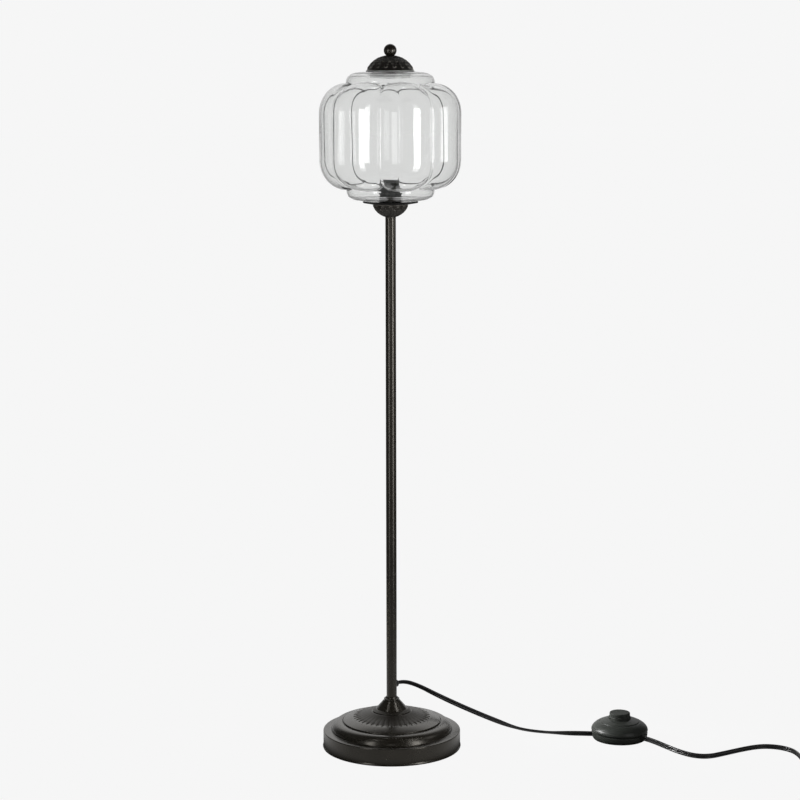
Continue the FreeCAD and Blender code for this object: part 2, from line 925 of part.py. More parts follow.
def cord_in_pole():
    """Held cord, which turns up inside the pole as tightly as the pole makes it."""
    way = polar(1, cord_hole_angle)
    bend = pole_bore_radius * 0.75
    start = way * pole_bore_radius + UP * cord_hole_height
    turn_in = way * bend + UP * cord_hole_height
    turn_out = UP * (cord_hole_height + bend)
    top = UP * (holder_floor + insert_chamber_depth / 2)
    path = Part.Wire(
        [
            Part.LineSegment(start, turn_in).toShape(),
            arc_between(turn_in, UP * cord_hole_height, turn_out),
            Part.LineSegment(turn_out, top).toShape(),
        ]
    )
    return tube("cord_in_pole", path, turn_in - start)


def cord_to_switch():
    """Out of the pole, down in a slack curve to the floor, and into the switch."""
    way = polar(1, cord_hole_angle)
    height = UP * cord_hole_height
    entry = Vector(switch_x, switch_y, cord_entry_height) + polar(switch_radius, cord_entry_angles[0])
    inward = polar(1, cord_entry_angles[0]) * -cord_inside
    points = [way * pole_bore_radius + height, way * (pole_radius + pole_run_out) + height]
    points += [
        Vector(30, 24, 66.5),
        Vector(55, 31, 49.5),
        Vector(86, 35.5, 32.5),
        Vector(119, 38, 17),
        Vector(150, 37.5, 6.5),
        Vector(178, 34, 2.6),
        Vector(203, 30.5, 2.9),
    ]
    points += [entry - inward, entry + inward]
    return stretch("cord_to_switch", points)


def cord_to_coil():
    """Out of the switch, over the floor in a slack S, and to the coil."""
    place = Vector(switch_x, switch_y, cord_entry_height)
    way = polar(1, cord_entry_angles[1])
    points = [place + way * (switch_radius - cord_inside), place + way * (switch_radius + cord_run_out)]
    points += [
        Vector(317, -16, 2.7),
        Vector(331, -36, 2.3),
        Vector(346, -51, 2.4),
        Vector(364, -52.5, 2.3),
        Vector(383, -41, 2.4),
        Vector(406, -26, 2.3),
        Vector(425.5, -15.8, 2.4),
        Vector(440.4, -14.5, 2.3),
        Vector(454.3, -20.1, 2.4),
        Vector(464, -31.3, 2.6),
        Vector(467.6, -45.7, 3.0),
        Vector(coil_start.x, -62, coil_low),
    ]
    points.append(coil_start + Vector(0, cord_diameter, 0))
    return stretch("cord_to_coil", points)


def coil_place(turn):
    """Point of the coil after so many turns: in along the low layer, then out along the high one."""
    half_way = coil_turns + 0.25
    radius = coil_inner_radius + coil_pitch * abs(turn - half_way)
    climb = min(max(turn - coil_turns, 0.0), 0.5) * 2
    smooth = climb * climb * (3 - 2 * climb)
    height = coil_low + (coil_high - coil_low) * smooth
    return Vector(coil_centre_x, coil_centre_y, 0) + polar(radius, 180 + 360 * turn, height)


def coil_heading(turn):
    """Direction of the coil there. The spiral turns round where it climbs."""
    step = 0.02
    heading = coil_place(turn + step) - coil_place(turn - step)
    return heading.normalize()


def biarc(start, start_way, end, end_way):
    """Two arcs that meet smoothly, with the given directions at their ends."""
    across = end - start
    ways = start_way + end_way
    spread = 2 * (1 - start_way.dot(end_way))
    along = across.dot(ways)
    reach = (math.sqrt(along * along + spread * across.dot(across)) - along) / spread
    near = start + start_way * reach
    far = end - end_way * reach
    joint = (near + far) * 0.5
    return [arc_between(start, near, joint), arc_between(joint, far, end)]


def cord_coil():
    """The length that is put away: two layers of loops as one tube, with a short straight end each way."""
    count = int(4 * (2 * coil_turns + 0.5))
    turns = [i / 4 for i in range(count + 1)]
    places = [coil_place(turn) for turn in turns]
    ways = [coil_heading(turn) for turn in turns]
    ways[0] = Vector(0, -1, 0)
    ways[-1] = Vector(0, 1, 0)
    lead = ways[0] * cord_diameter
    edges = [Part.LineSegment(places[0] - lead, places[0]).toShape()]
    for i in range(count):
        edges += biarc(places[i], ways[i], places[i + 1], ways[i + 1])
    edges.append(Part.LineSegment(places[-1], places[-1] + ways[-1] * cord_diameter).toShape())
    path = Part.Wire(edges)
    print("cord_coil least gap to itself", round(self_gap(path), 2))
    return tube("cord_coil", path, ways[0])


def self_gap(path):
    """Least distance between the surfaces of different loops, measured on points along the path."""
    spacing = 2.0
    points = path.discretize(Distance=spacing)
    apart = int(math.pi * coil_inner_radius / spacing)
    nearest = min(p.distanceToPoint(q) for i, p in enumerate(points) for q in points[i + apart:])
    return nearest - cord_diameter


def cord_tail():
    """Short end from the coil down to the plug."""
    start = coil_end + Vector(0, cord_diameter, 0)
    run = Vector(0, tail_length / 3, 0)
    end = plug_entry()
    return stretch("cord_tail", [start, start + run, end - run, end])


def coil_tie():
    """Flat band around the coil, on its far side."""
    reach = cord_radius + tie_gap
    inner = coil_inner_radius - reach
    outer = coil_outer_radius + reach
    top = coil_high + reach
    half = tie_width / 2
    band = box(-half, half, inner - tie_thickness, outer + tie_thickness, 0, top + tie_thickness)
    hole = box(-half, half, inner, outer, tie_thickness, top)
    return moved(band.cut(hole), coil_centre_x, coil_centre_y)


# Plug, made along +Y from the place where the cord enters it


def plug_entry():
    return Vector(coil_end.x, coil_end.y + cord_diameter + tail_length, plug_axis_height)


def at_plug(shape):
    entry = plug_entry()
    return moved(shape, entry.x, entry.y, entry.z)


def plug_relief():
    """Tapered sleeve between the cord and the plug."""
    cone = Part.makeCone(relief_front_radius, relief_rear_radius, relief_length, ORIGIN, Vector(0, 1, 0))
    return at_plug(cone)


def plug_body():
    """Flat two-pin plug that narrows towards its cord."""
    rear = relief_length
    front = rear + plug_length
    wide = plug_width / 2
    narrow = plug_rear_width / 2
    low = -plug_height / 2
    corners = [
        Vector(narrow, rear, low),
        Vector(wide, front - plug_shoulder, low),
        Vector(wide, front, low),
        Vector(-wide, front, low),
        Vector(-wide, front - plug_shoulder, low),
        Vector(-narrow, rear, low),
        Vector(narrow, rear, low),
    ]
    block = Part.Face(Part.makePolygon(corners)).extrude(UP * plug_height)
    rounded = [edge for edge in block.Edges if edge.BoundBox.YMin < front - plug_shoulder / 2]
    return at_plug(block.makeFillet(plug_round, rounded))


def plug_pins():
    front = relief_length + plug_length
    pins = []
    for side in (1, -1):
        foot = Vector(side * plug_pin_spacing / 2, front, 0)
        shaft = Part.makeCylinder(plug_pin_radius, plug_pin_length - plug_pin_radius, foot, Vector(0, 1, 0))
        tip = Part.makeSphere(plug_pin_radius, foot + Vector(0, plug_pin_length - plug_pin_radius, 0))
        pins.append(shaft.fuse(tip).removeSplitter())
    return at_plug(Part.makeCompound(pins))


standing = [
    base_shell,
    ballast_weight,
    base_pad,
    base_washer,
    base_lock_washer,
    base_nut,
    base_nipple,
    base_cone,
    neck_ring,
    pole_tube,
    cord_bush,
    gallery_cup,
    gallery_nipple,
    gallery_nut,
    shade_dish,
    lower_gasket,
    fibre_washer,
    shade_ring,
    holder_cap,
    holder_skirt,
    holder_insert,
    screw_shell,
    centre_contact,
    glass_shade,
    cap_gasket,
    seat_plate,
    cap_dome,
    finial_ball,
    finial_stud,
    finial_nut,
    cord_in_pole,
    cord_to_switch,
    cord_to_coil,
    cord_coil,
    cord_tail,
    coil_tie,
    plug_relief,
    plug_body,
    plug_pins,
]
in_foot_switch = [
    switch_bottom,
    switch_feet,
    switch_dome,
    switch_button,
    switch_latch,
    switch_contacts,
    switch_terminal_screws,
    switch_spring,
    switch_cord_clamps,
    switch_clamp_screws,
    switch_housing_screws,
]

os.makedirs("parts", exist_ok=True)
for make in standing:
    make().exportStep("parts/" + make.__name__ + ".step")
for make in in_foot_switch:
    in_switch(make()).exportStep("parts/" + make.__name__ + ".step")
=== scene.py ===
"""Looks of the glass floor lamp: clear lobed lantern, dark bronze stand, flat cord and foot switch.

Sizes are in millimetres, and build() turns them into metres. The cords' points are in metres.
"""

import math

import bmesh
import bpy
from mathutils import Matrix, Vector


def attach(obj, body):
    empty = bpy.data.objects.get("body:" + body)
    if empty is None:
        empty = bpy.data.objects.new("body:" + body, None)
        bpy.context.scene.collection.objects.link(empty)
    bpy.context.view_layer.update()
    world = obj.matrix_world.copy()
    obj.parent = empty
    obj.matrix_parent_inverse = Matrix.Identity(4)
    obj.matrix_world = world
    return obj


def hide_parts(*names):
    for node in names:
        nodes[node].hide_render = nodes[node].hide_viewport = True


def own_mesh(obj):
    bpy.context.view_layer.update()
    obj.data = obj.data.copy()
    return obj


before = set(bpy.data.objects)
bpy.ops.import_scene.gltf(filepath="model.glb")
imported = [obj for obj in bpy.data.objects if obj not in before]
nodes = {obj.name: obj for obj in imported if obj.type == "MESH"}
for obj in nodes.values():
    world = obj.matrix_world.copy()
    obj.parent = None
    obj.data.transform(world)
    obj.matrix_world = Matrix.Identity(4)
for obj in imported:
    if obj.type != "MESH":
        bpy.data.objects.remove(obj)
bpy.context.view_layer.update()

MM = 0.001

# Mesh making
PER_METRE = 1000.0
WELD_DISTANCE = 1e-7
ROUND_LIMIT = 0.49
ROUND_STEPS = 5
TURN_STEPS = 160

# Camera, in metres and degrees
CAMERA_PLACE = (0.0103, -2.328, 0.738)
CAMERA_DROP = 8.033
CAMERA_ROLL = -0.1
CAMERA_LENS = 92.41
CAMERA_SENSOR = 36.0

# Cord: flat twin flex
CORD_WIDTH = 5.8
CORD_THICKNESS = 2.9
CORD_WEB = 1.7
CORD_NOTCH = 0.12
CORD_ARC_STEPS = 12
CORD_SHARP = 50.0
LINE_STEPS = 10

# Base: its sloping ring, the flutes on it, and the matt tops of base and cone as (inner, outer, low)
RING_START = (46.4, 36.0)
RING_RUN = (-21.8, 6.9)
RING_SAG = 0.9
RING_STEPS = 44
FLUTE_COUNT = 40
FLUTE_STEPS = 20
FLUTE_DEPTH = 0.15
FLUTE_END_DEPTH = 0.62
FLUTE_GAP = 0.38
FLUTE_EDGE = 0.2
FLUTE_INNER = 27.0
FLUTE_OUTER = 45.4
FLUTE_END = 4.2
FLUTE_FADE = 5.0
FLUTE_DEEPENS = (FLUTE_OUTER - 2.2 * FLUTE_END, FLUTE_OUTER - 0.7 * FLUTE_END)
FLUTE_CLOSES = 0.75
BASE_SHARP = 32.0
BASE_MATT = (20.0, FLUTE_OUTER - FLUTE_END, 35.0)
CONE_MATT = (18.6, 22.0, 44.0)
UPWARD = 0.3

# Cup and dish: how far they stand up towards the glass
GALLERY_LIFT = 1.35

# Glass
GLASS_FOOT = 634.7
GLASS_TOP = 780.5
GLASS_WALL = 2.2
GLASS_NECK = 23.4
GLASS_FOOT_HOLE = 11.5
COLLAR = [
    (27.0, 0.0),
    (34.0, 0.25),
    (38.7, 0.8),
    (42.6, 1.85),
    (44.8, 3.0),
    (46.5, 4.1),
    (47.9, 5.4),
    (48.9, 7.3),
    (49.6, 9.4),
    (50.1, 12.2),
]
SHOULDER_RADIUS = 50.4
SHOULDER_DEPTH = 12.4
SHOULDER_DROP = 34.0
FOOT_LIFT = 1.9
WALL_RADIUS = 79.6
SEAT_FADE = 7.0
LOBE_COUNT = 8
LOBE_FIRST_ANGLE = -76.2
LOBE_RISE = 1.0
LOBE_STEPS = 48
LOBE_CROWDING = 0.8
CREASE_DEPTH = 0.3
CREASE_WIDTH = 1.1
DIMPLE = 2.4
PINCH = 2.6
PINCH_WIDTH = 3.2
RIPPLE = 0.02
RIPPLE_SECOND = 0.6
RIPPLE_LENGTHS = (17.0, 25.0)
RIPPLE_TURNS = (9.0, 13.0)
RIPPLE_PHASES = (0.7, 2.9)
RIPPLE_FADE = 10.0
COLLAR_STEPS = 4
SHOULDER_STEPS = 32
WALL_STEPS = 6
LIP_STEPS = 6
GLASS_SHARP = 60.0

# Ornament of cap and cup, in shares of a leaf's pitch and length
LOW_LEAVES = (0.7, 0.05)
HIGH_LEAVES = (1.0, 0.36)
HIGH_LEAF_RISE = 0.9
HIGH_LEAF_RUB_HIGHLIGHT = 0.7
LEAF_WIDTH = 0.47
LEAF_TAPER = 2.6
LEAF_FULL = 0.82
LEAF_SCALLOP = 0.18
LEAF_SCALLOPS = 9.0
LEAF_EDGE = 0.045
LEAF_HOLLOW = 0.45
LEAF_HOLLOW_SPAN = (0.06, 0.16)
LEAF_RIB = 0.04
LEAF_RIB_FALL = 0.6
LEAF_VEIN = 0.24
LEAF_VEIN_STEP = 26.0
LEAF_VEIN_LEAN = 16.0
LEAF_VEIN_SPAN = (0.02, 0.1)
GROUND_RISE = 0.16
GROUND_TURNS = 6.0
GROUND_ROWS = 60.0
# How much leaf edges and tips are lightened: partly rubbed wear, partly painted highlight
LEAF_RUB_HIGHLIGHT = 0.76
LEAF_RUB_HIGHLIGHT_SWING = 0.24
LEAF_RUB_HIGHLIGHT_STEP = 2.4
RUB_HIGHLIGHT_LEAST = 0.08
RUB_HIGHLIGHT_MORE = 0.92
RUB_HIGHLIGHT_EDGE = (0.55, 0.9)
RUB_HIGHLIGHT_TIP = (0.84, 0.93)
EMBOSS_FOOT = (0.0, 0.03)
EMBOSS_TOP = (1.0, 0.94)
EMBOSS_RIM = (0.06, 0.03)
EMBOSS_SHARP = 50.0

# Finishes: dark and light colour, roughness, grain, its depth in metres, and the shader's settings
NOISE_SPAN = (0.3, 0.7)
GLOSS_SCALE = 0.4
BUMP_SCALE = 6.0
WARM = (1.0, 0.95, 0.86, 1.0)
BRONZE = ((0.0115, 0.0096, 0.0066), (0.0165, 0.014, 0.0098))
CAST_BRONZE = ((0.006, 0.0055, 0.0045), (0.011, 0.0098, 0.008))
SHADOW_BRONZE = ((0.004, 0.0038, 0.0034), (0.007, 0.0065, 0.0055))
# Light colour of rubbed wear and painted highlight on the ornament, and the painted glint flecks
RUB_AND_HIGHLIGHT_COLOUR = (0.56, 0.53, 0.48, 1.0)
PAINTED_GLINTS = [(0.64, (0.0, 0.0, 0.0)), (0.74, (0.35, 0.35, 0.35))]
PLASTIC = ((0.014, 0.0154, 0.0135), (0.019, 0.021, 0.0185))
PVC = ((0.006, 0.006, 0.006), (0.012, 0.012, 0.0115))
RUBBER = ((0.012, 0.012, 0.012), (0.025, 0.025, 0.024))
INSERT = ((0.02, 0.019, 0.018), (0.035, 0.033, 0.031))
FELT = ((0.008, 0.008, 0.009), (0.035, 0.035, 0.036))
IRON = ((0.05, 0.05, 0.05), (0.11, 0.108, 0.105))
ZINC = ((0.88, 0.885, 0.885), (0.95, 0.955, 0.95))
BRASS = ((0.55, 0.38, 0.14), (0.72, 0.52, 0.22))
NICKEL = ((0.58, 0.56, 0.52), (0.72, 0.7, 0.66))
SILICONE = ((0.9, 0.91, 0.9), (0.96, 0.97, 0.96))
FIBRE = ((0.01, 0.009, 0.009), (0.02, 0.018, 0.017))
STRAP = ((0.01, 0.01, 0.01), (0.02, 0.02, 0.02))
GLASS_TINT = ((0.868, 0.872, 0.868), (0.882, 0.886, 0.882))
FLOOR_TINT = ((0.004, 0.004, 0.004), (0.006, 0.006, 0.006))
FINISHES = {
    "dark_bronze": (*BRONZE, (0.23, 0.3), 60.0, 1.5e-6, {"IOR": 1.6, "Specular Tint": WARM}),
    "matt_bronze": (*BRONZE, (0.44, 0.52), 60.0, 2e-6, {"IOR": 1.5, "Specular Tint": WARM}),
    "shadow_bronze": (*SHADOW_BRONZE, (0.45, 0.6), 120.0, 1e-5, {"IOR": 1.25}),
    "black_plastic": (*PLASTIC, (0.38, 0.46), 160.0, 3e-6, {"IOR": 1.27}),
    "matt_plastic": (*PLASTIC, (0.66, 0.76), 160.0, 3e-6, {"IOR": 1.22}),
    "black_pvc": (*PVC, (0.3, 0.38), 120.0, 5e-7, {"IOR": 1.33}),
    "black_rubber": (*RUBBER, (0.6, 0.75), 200.0, 6e-5, {}),
    "insert_plastic": (*INSERT, (0.35, 0.5), 140.0, 3e-5, {}),
    "felt": (*FELT, (0.9, 1.0), 420.0, 3e-4, {"Sheen Weight": 0.4}),
    "cast_iron": (*IRON, (0.5, 0.7), 90.0, 2e-4, {"Metallic": 0.8}),
    "zinc_steel": (*ZINC, (0.45, 0.6), 110.0, 2e-5, {"Metallic": 1.0}),
    "brass": (*BRASS, (0.2, 0.34), 90.0, 2e-5, {"Metallic": 1.0}),
    "nickel_pins": (*NICKEL, (0.14, 0.24), 100.0, 1e-5, {"Metallic": 1.0}),
    "clear_silicone": (*SILICONE, (0.3, 0.42), 70.0, 3e-5, {"Transmission Weight": 0.85, "IOR": 1.41}),
    "fibre": (*FIBRE, (0.6, 0.75), 260.0, 1e-4, {}),
    "tie_strap": (*STRAP, (0.4, 0.55), 220.0, 8e-5, {}),
}

# Foot switch
SWITCH_X = 270.0
SWITCH_Y = 29.0
DOME_RADIUS = 33.4
DOME_LOW = 10.9
DOME_RISE = 14.6
DOME_POWER = 1.05
DOME_STEPS = 80
DOME_HOLE = 14.2
DOME_GROOVE = 0.45
DOME_GROOVE_RADIUS = 23.6
DOME_GROOVE_WIDTH = 0.45

# Floor and surroundings. A ray through both walls of the glass crosses more than BOTH_WALLS faces.
# A shade of the floor is (middle, near, far, light up to near, light from far on). The first two
# paint shadow round the base and the switch into the floor's glow.
PALE = 0.922
GLASS_LIGHT = 0.52
BOTH_WALLS = 3
FLOOR_SIZE = 60.0
FLOOR_GRAIN = 300.0
FLOOR_DIMMING = 0.002
FLOOR_LIGHT = 0.78
FLOOR_FRONT_LIGHT = 0.38
FLOOR_FAR_LIGHT = 0.1
FLOOR_SHADES = [
    ((0.0, 0.0, 0.0), 78.0, 125.0, 0.0, FLOOR_LIGHT),
    ((SWITCH_X, SWITCH_Y, 0.0), 28.0, 90.0, 0.0, FLOOR_LIGHT),
    ((0.0, 0.0, 0.0), 250.0, 650.0, FLOOR_LIGHT, FLOOR_FAR_LIGHT),
    ((0.0, -5000.0, 0.0), 4860.0, 5040.0, FLOOR_FRONT_LIGHT, FLOOR_LIGHT),
]
FLOOR_BEHIND = (600.0, 2000.0)
FLOOR_WEDGE = 1.6
OVERHEAD = 0.06
OVERHEAD_SPAN = (0.68, 0.84)
LOW_SHARE = 0.85
HIGH_SHARE = 1.55
SHARE_SPAN = (0.15, 0.63)
SURROUNDINGS = [(0.0, 0.03), (0.25, 0.03), (0.5, 0.04), (0.86, 0.07), (0.91, 0.4), (0.95, 0.92)]

# Light panels: name, bearing, distance, width and radiance. Spots: name, target in millimetres,
# way to the light, distance, energy, radius and beam angle. Distances are in metres, angles in degrees
PANEL_SPREAD = 100.0
PANEL_LOW = 0.03
PANEL_MIDDLE = 0.26
PANEL_TOP = 1.0
LOW_PANEL_SHARE = 0.5
SIDE_PANEL_LOW = 0.6
SPOT_BLEND = 0.6
PANELS = [
    ("left", -40.5, 1.0, 0.2, 6.5),
    ("right", 47.5, 1.0, 0.26, 9.5),
    ("front", 0.0, 3.0, 0.6, 1.75),
]
SIDE_PANELS = [
    ("far_left", -92.0, 1.0, 0.16, 0.6),
    ("far_right", 89.0, 1.0, 0.36, 3.6),
]
SPOTS = [
    ("switch_spot", (SWITCH_X, SWITCH_Y, 14.0), (-0.88, 0.1, 0.46), 0.5, 42.0, 0.07, 17.0),
    ("cone_left_spot", (0.0, 0.0, 50.0), (-0.379, -0.324, 0.868), 1.0, 5.0, 0.17, 9.0),
    ("cone_right_spot", (0.0, 0.0, 50.0), (0.496, -0.241, 0.834), 1.0, 11.0, 0.17, 9.0),
]


# Camera and line of the cords


def make_camera():
    """Camera where the photograph was taken."""
    data = bpy.data.cameras.new("camera")
    data.lens = CAMERA_LENS
    data.sensor_width = CAMERA_SENSOR
    camera = bpy.data.objects.new("camera", data)
    tilt = Matrix.Rotation(math.radians(90.0 - CAMERA_DROP), 4, "X")
    roll = Matrix.Rotation(math.radians(CAMERA_ROLL), 4, "Z")
    camera.matrix_world = Matrix.Translation(CAMERA_PLACE) @ tilt @ roll
    bpy.context.collection.objects.link(camera)
    bpy.context.scene.camera = camera


def smooth_line(points):
    """Points of the smooth line that a cord's control points steer."""
    data = bpy.data.curves.new("line", "CURVE")
    data.dimensions = "3D"
    data.resolution_u = LINE_STEPS
    spline = data.splines.new("NURBS")
    spline.points.add(len(points) - 1)
    for point, place in zip(spline.points, points):
        point.co = (*place, 1.0)
    spline.order_u = 3
    spline.use_endpoint_u = True
    guide = bpy.data.objects.new("line", data)
    bpy.context.collection.objects.link(guide)
    mesh = bpy.data.meshes.new_from_object(guide)
    line = [vertex.co.copy() for vertex in mesh.vertices]
    bpy.data.meshes.remove(mesh)
    bpy.data.objects.remove(guide)
    return line


def smoothstep(low, high, value):
    """Share from 0 at low to 1 at high, with a soft start and end."""
    t = min(1.0, max(0.0, (value - low) / (high - low)))
    return t * t * (3.0 - 2.0 * t)


def length_of(line):
    """Length of a line of points."""
    return sum((b - a).length for a, b in zip(line, line[1:]))


# Mesh making


def build(name, points, faces, sharp=35.0, rub_and_highlight=None):
    """New smooth-shaded object from points in millimetres.

    sharp is the angle in degrees from which an edge stays hard, and the last argument gives how
    much each point is lightened, partly by rubbed wear and partly by painted highlight.
    """
    mesh = bpy.data.meshes.new(name)
    mesh.from_pydata([(x * MM, y * MM, z * MM) for x, y, z in points], [], faces)
    if rub_and_highlight is not None:
        mesh.attributes.new("rub_and_highlight", "FLOAT", "POINT").data.foreach_set("value", rub_and_highlight)
    form = bmesh.new()
    form.from_mesh(mesh)
    bmesh.ops.remove_doubles(form, verts=form.verts, dist=WELD_DISTANCE)
    bmesh.ops.recalc_face_normals(form, faces=form.faces)
    form.to_mesh(mesh)
    form.free()
    mesh.polygons.foreach_set("use_smooth", [True] * len(mesh.polygons))
    mesh.set_sharp_from_angle(angle=math.radians(sharp))
    piece = bpy.data.objects.new(name, mesh)
    bpy.context.collection.objects.link(piece)
    return piece


def skin(rows, close_rows=False):
    """Points and faces of a skin over closed rows of equally many points."""
    width = len(rows[0])
    points = [point for row in rows for point in row]
    faces = []
    row_pairs = len(rows) if close_rows else len(rows) - 1
    for i in range(row_pairs):
        for j in range(width):
            a = i * width + j
            b = i * width + (j + 1) % width
            c = (i + 1) % len(rows) * width + (j + 1) % width
            d = (i + 1) % len(rows) * width + j
            faces.append((a, b, c, d))
    return points, faces


def rounded(corners):
    """Outline through (radius, height, rounding) corners."""
    outline = []
    for i, (radius, height, rounding) in enumerate(corners):
        here = Vector((radius, height))
        if rounding == 0 or i == 0 or i == len(corners) - 1:
            outline.append(here)
            continue
        back = Vector(corners[i - 1][:2]) - here
        on = Vector(corners[i + 1][:2]) - here
        reach = rounding / math.tan(back.angle(on) / 2.0)
        reach = min(reach, ROUND_LIMIT * back.length, ROUND_LIMIT * on.length)
        start = here + back.normalized() * reach
        end = here + on.normalized() * reach
        for k in range(ROUND_STEPS + 1):
            t = k / ROUND_STEPS
            outline.append(start * (1 - t) ** 2 + here * 2 * t * (1 - t) + end * t**2)
    return outline


def bow(start, end, rise, steps=16):
    """Corners along an arc from start to end that stands out by rise, to the right of the way up."""
    a = Vector(start)
    b = Vector(end)
    chord = b - a
    half = chord.length / 2.0
    out = Vector((chord.y, -chord.x)).normalized()
    radius = (half * half + rise * rise) / (2.0 * rise)
    centre = (a + b) / 2.0 + out * (rise - radius)
    reach = abs(radius)
    first = math.atan2(a.y - centre.y, a.x - centre.x)
    swept = (b - centre).angle_signed(a - centre)
    corners = []
    for k in range(1, steps):
        angle = first + swept * k / steps
        corners.append((centre.x + reach * math.cos(angle), centre.y + reach * math.sin(angle), 0))
    return corners


def curve_through(points, steps):
    """Smooth outline through points, with this many steps between neighbours."""
    spots = [Vector(point) for point in points]
    spots = [2 * spots[0] - spots[1], *spots, 2 * spots[-1] - spots[-2]]
    outline = []
    for before, start, end, after in zip(spots, spots[1:], spots[2:], spots[3:]):
        for k in range(steps):
            t = k / steps
            first = (end - before) * t
            second = (2 * before - 5 * start + 4 * end - after) * t**2
            third = (3 * start - before - 3 * end + after) * t**3
            outline.append(start + 0.5 * (first + second + third))
    outline.append(spots[-2])
    return outline


def turn(outline, count, relief=None, x=0.0, y=0.0):
    """Rows of points of an outline turned about an upright axis.

    relief(radius, angle) says how far a point moves up.
    """
    rows = []
    for radius, height in outline:
        row = []
        for k in range(count):
            angle = 2.0 * math.pi * k / count
            up = 0.0 if relief is None else relief(radius, angle)
            row.append((x + radius * math.cos(angle), y + radius * math.sin(angle), height + up))
        rows.append(row)
    return rows


def dress(piece, body, slot, *replaced):
    """Finish a piece: its material, its body and the nodes that it stands for."""
    piece.data.materials.append(finishes[slot])
    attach(piece, body)
    if replaced:
        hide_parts(*replaced)
    return piece


# Materials


class Nodes:
    """A node tree, with short ways to add the common nodes."""

    def __init__(self, tree):
        self.tree = tree

    def node(self, kind, **values):
        node = self.tree.nodes.new(kind)
        for name, value in values.items():
            if name in node.inputs:
                node.inputs[name].default_value = value
            else:
                setattr(node, name, value)
        return node

    def link(self, source, target):
        self.tree.links.new(source, target)

    def calculate(self, operation, *values):
        """Result of a calculation with numbers and linked values."""
        node = self.node("ShaderNodeMath", operation=operation)
        for socket, value in zip(node.inputs, values):
            if isinstance(value, float):
                socket.default_value = value
            else:
                self.link(value, socket)
        return node.outputs["Value"]

    def ramp(self, source, stops):
        ramp = self.node("ShaderNodeValToRGB")
        elements = ramp.color_ramp.elements
        while len(elements) < len(stops):
            elements.new(0.5)
        for element, (place, colour) in zip(elements, stops):
            element.position = place
            element.color = (*colour, 1.0)
        self.link(source, ramp.inputs["Fac"])
        return ramp.outputs["Color"]

    def scale(self, source, start, end, low=0.0, high=1.0, kind="LINEAR"):
        """Value that goes from low to high as the source goes from start to end."""
        scale = self.node("ShaderNodeMapRange", interpolation_type=kind)
        scale.inputs["From Min"].default_value = start
        scale.inputs["From Max"].default_value = end
        scale.inputs["To Min"].default_value = low
        scale.inputs["To Max"].default_value = high
        self.link(source, scale.inputs["Value"])
        return scale.outputs["Result"]

    def split(self, vector):
        parts = self.node("ShaderNodeSeparateXYZ")
        self.link(vector, parts.inputs["Vector"])
        return parts.outputs

    def deeper_than(self, count):
        """1 for rays that have passed through more than this many glass faces."""
        path = self.node("ShaderNodeLightPath")
        return self.calculate("GREATER_THAN", path.outputs["Transmission Depth"], count + 0.5)

    def seen_directly(self):
        """1 for what the camera sees, also through both glass walls, and 0 for what lights the lamp."""
        path = self.node("ShaderNodeLightPath")
        return self.calculate("MAXIMUM", path.outputs["Is Camera Ray"], self.deeper_than(BOTH_WALLS))


class Shader(Nodes):
    """The nodes of a new material."""

    def __init__(self, name):
        self.material = bpy.data.materials.new(name)
        self.material.use_nodes = True
        super().__init__(self.material.node_tree)
        self.surface = self.tree.nodes["Principled BSDF"]
        self.place = self.node("ShaderNodeTexCoord").outputs["Object"]

    def set(self, settings):
        for name, value in settings.items():
            self.surface.inputs[name].default_value = value

    def drive(self, name, source):
        self.link(source, self.surface.inputs[name])

    def noise(self, scale, detail=3.0, rough=0.55, stretch=(1.0, 1.0, 1.0)):
        mapping = self.node("ShaderNodeMapping", Scale=stretch)
        self.link(self.place, mapping.inputs["Vector"])
        noise = self.node("ShaderNodeTexNoise", Scale=scale, Detail=detail, Roughness=rough)
        self.link(mapping.outputs["Vector"], noise.inputs["Vector"])
        return noise.outputs["Fac"]

    def mottle(self, noise, dark, light):
        """Colour that wavers between two colours with the noise."""
        return self.ramp(noise, list(zip(NOISE_SPAN, (dark, light))))

    def waver(self, noise, low, high):
        """Value that wavers between two values with the noise."""
        return self.scale(noise, *NOISE_SPAN, low, high)

    def bump(self, source, depth, strength=1.0):
        """Bumps of this depth, in metres."""
        bump = self.node("ShaderNodeBump", Strength=strength, Distance=depth)
        self.link(source, bump.inputs["Height"])
        self.drive("Normal", bump.outputs["Normal"])


def plain_finish(name, dark, light, roughness, grain, depth, settings):
    """Material with a mottled colour, an uneven gloss and a fine grain."""
    shader = Shader(name)
    shader.set(settings)
    shader.drive("Base Color", shader.mottle(shader.noise(grain), dark, light))
    shader.drive("Roughness", shader.waver(shader.noise(grain * GLOSS_SCALE), *roughness))
    shader.bump(shader.noise(grain * BUMP_SCALE, detail=2.0), depth)
    return shader.material


def make_glass():
    """Clear blown glass with a faint ripple."""
    shader = Shader("clear_glass")
    shader.set({"Transmission Weight": 1.0, "IOR": 1.5, "Roughness": 0.0})
    shader.drive("Base Color", shader.mottle(shader.noise(18.0, detail=1.0), *GLASS_TINT))
    waves = shader.noise(40.0, detail=1.0, rough=0.4, stretch=(1.0, 1.0, 0.3))
    shader.bump(waves, depth=2e-5, strength=0.5)
    return shader.material


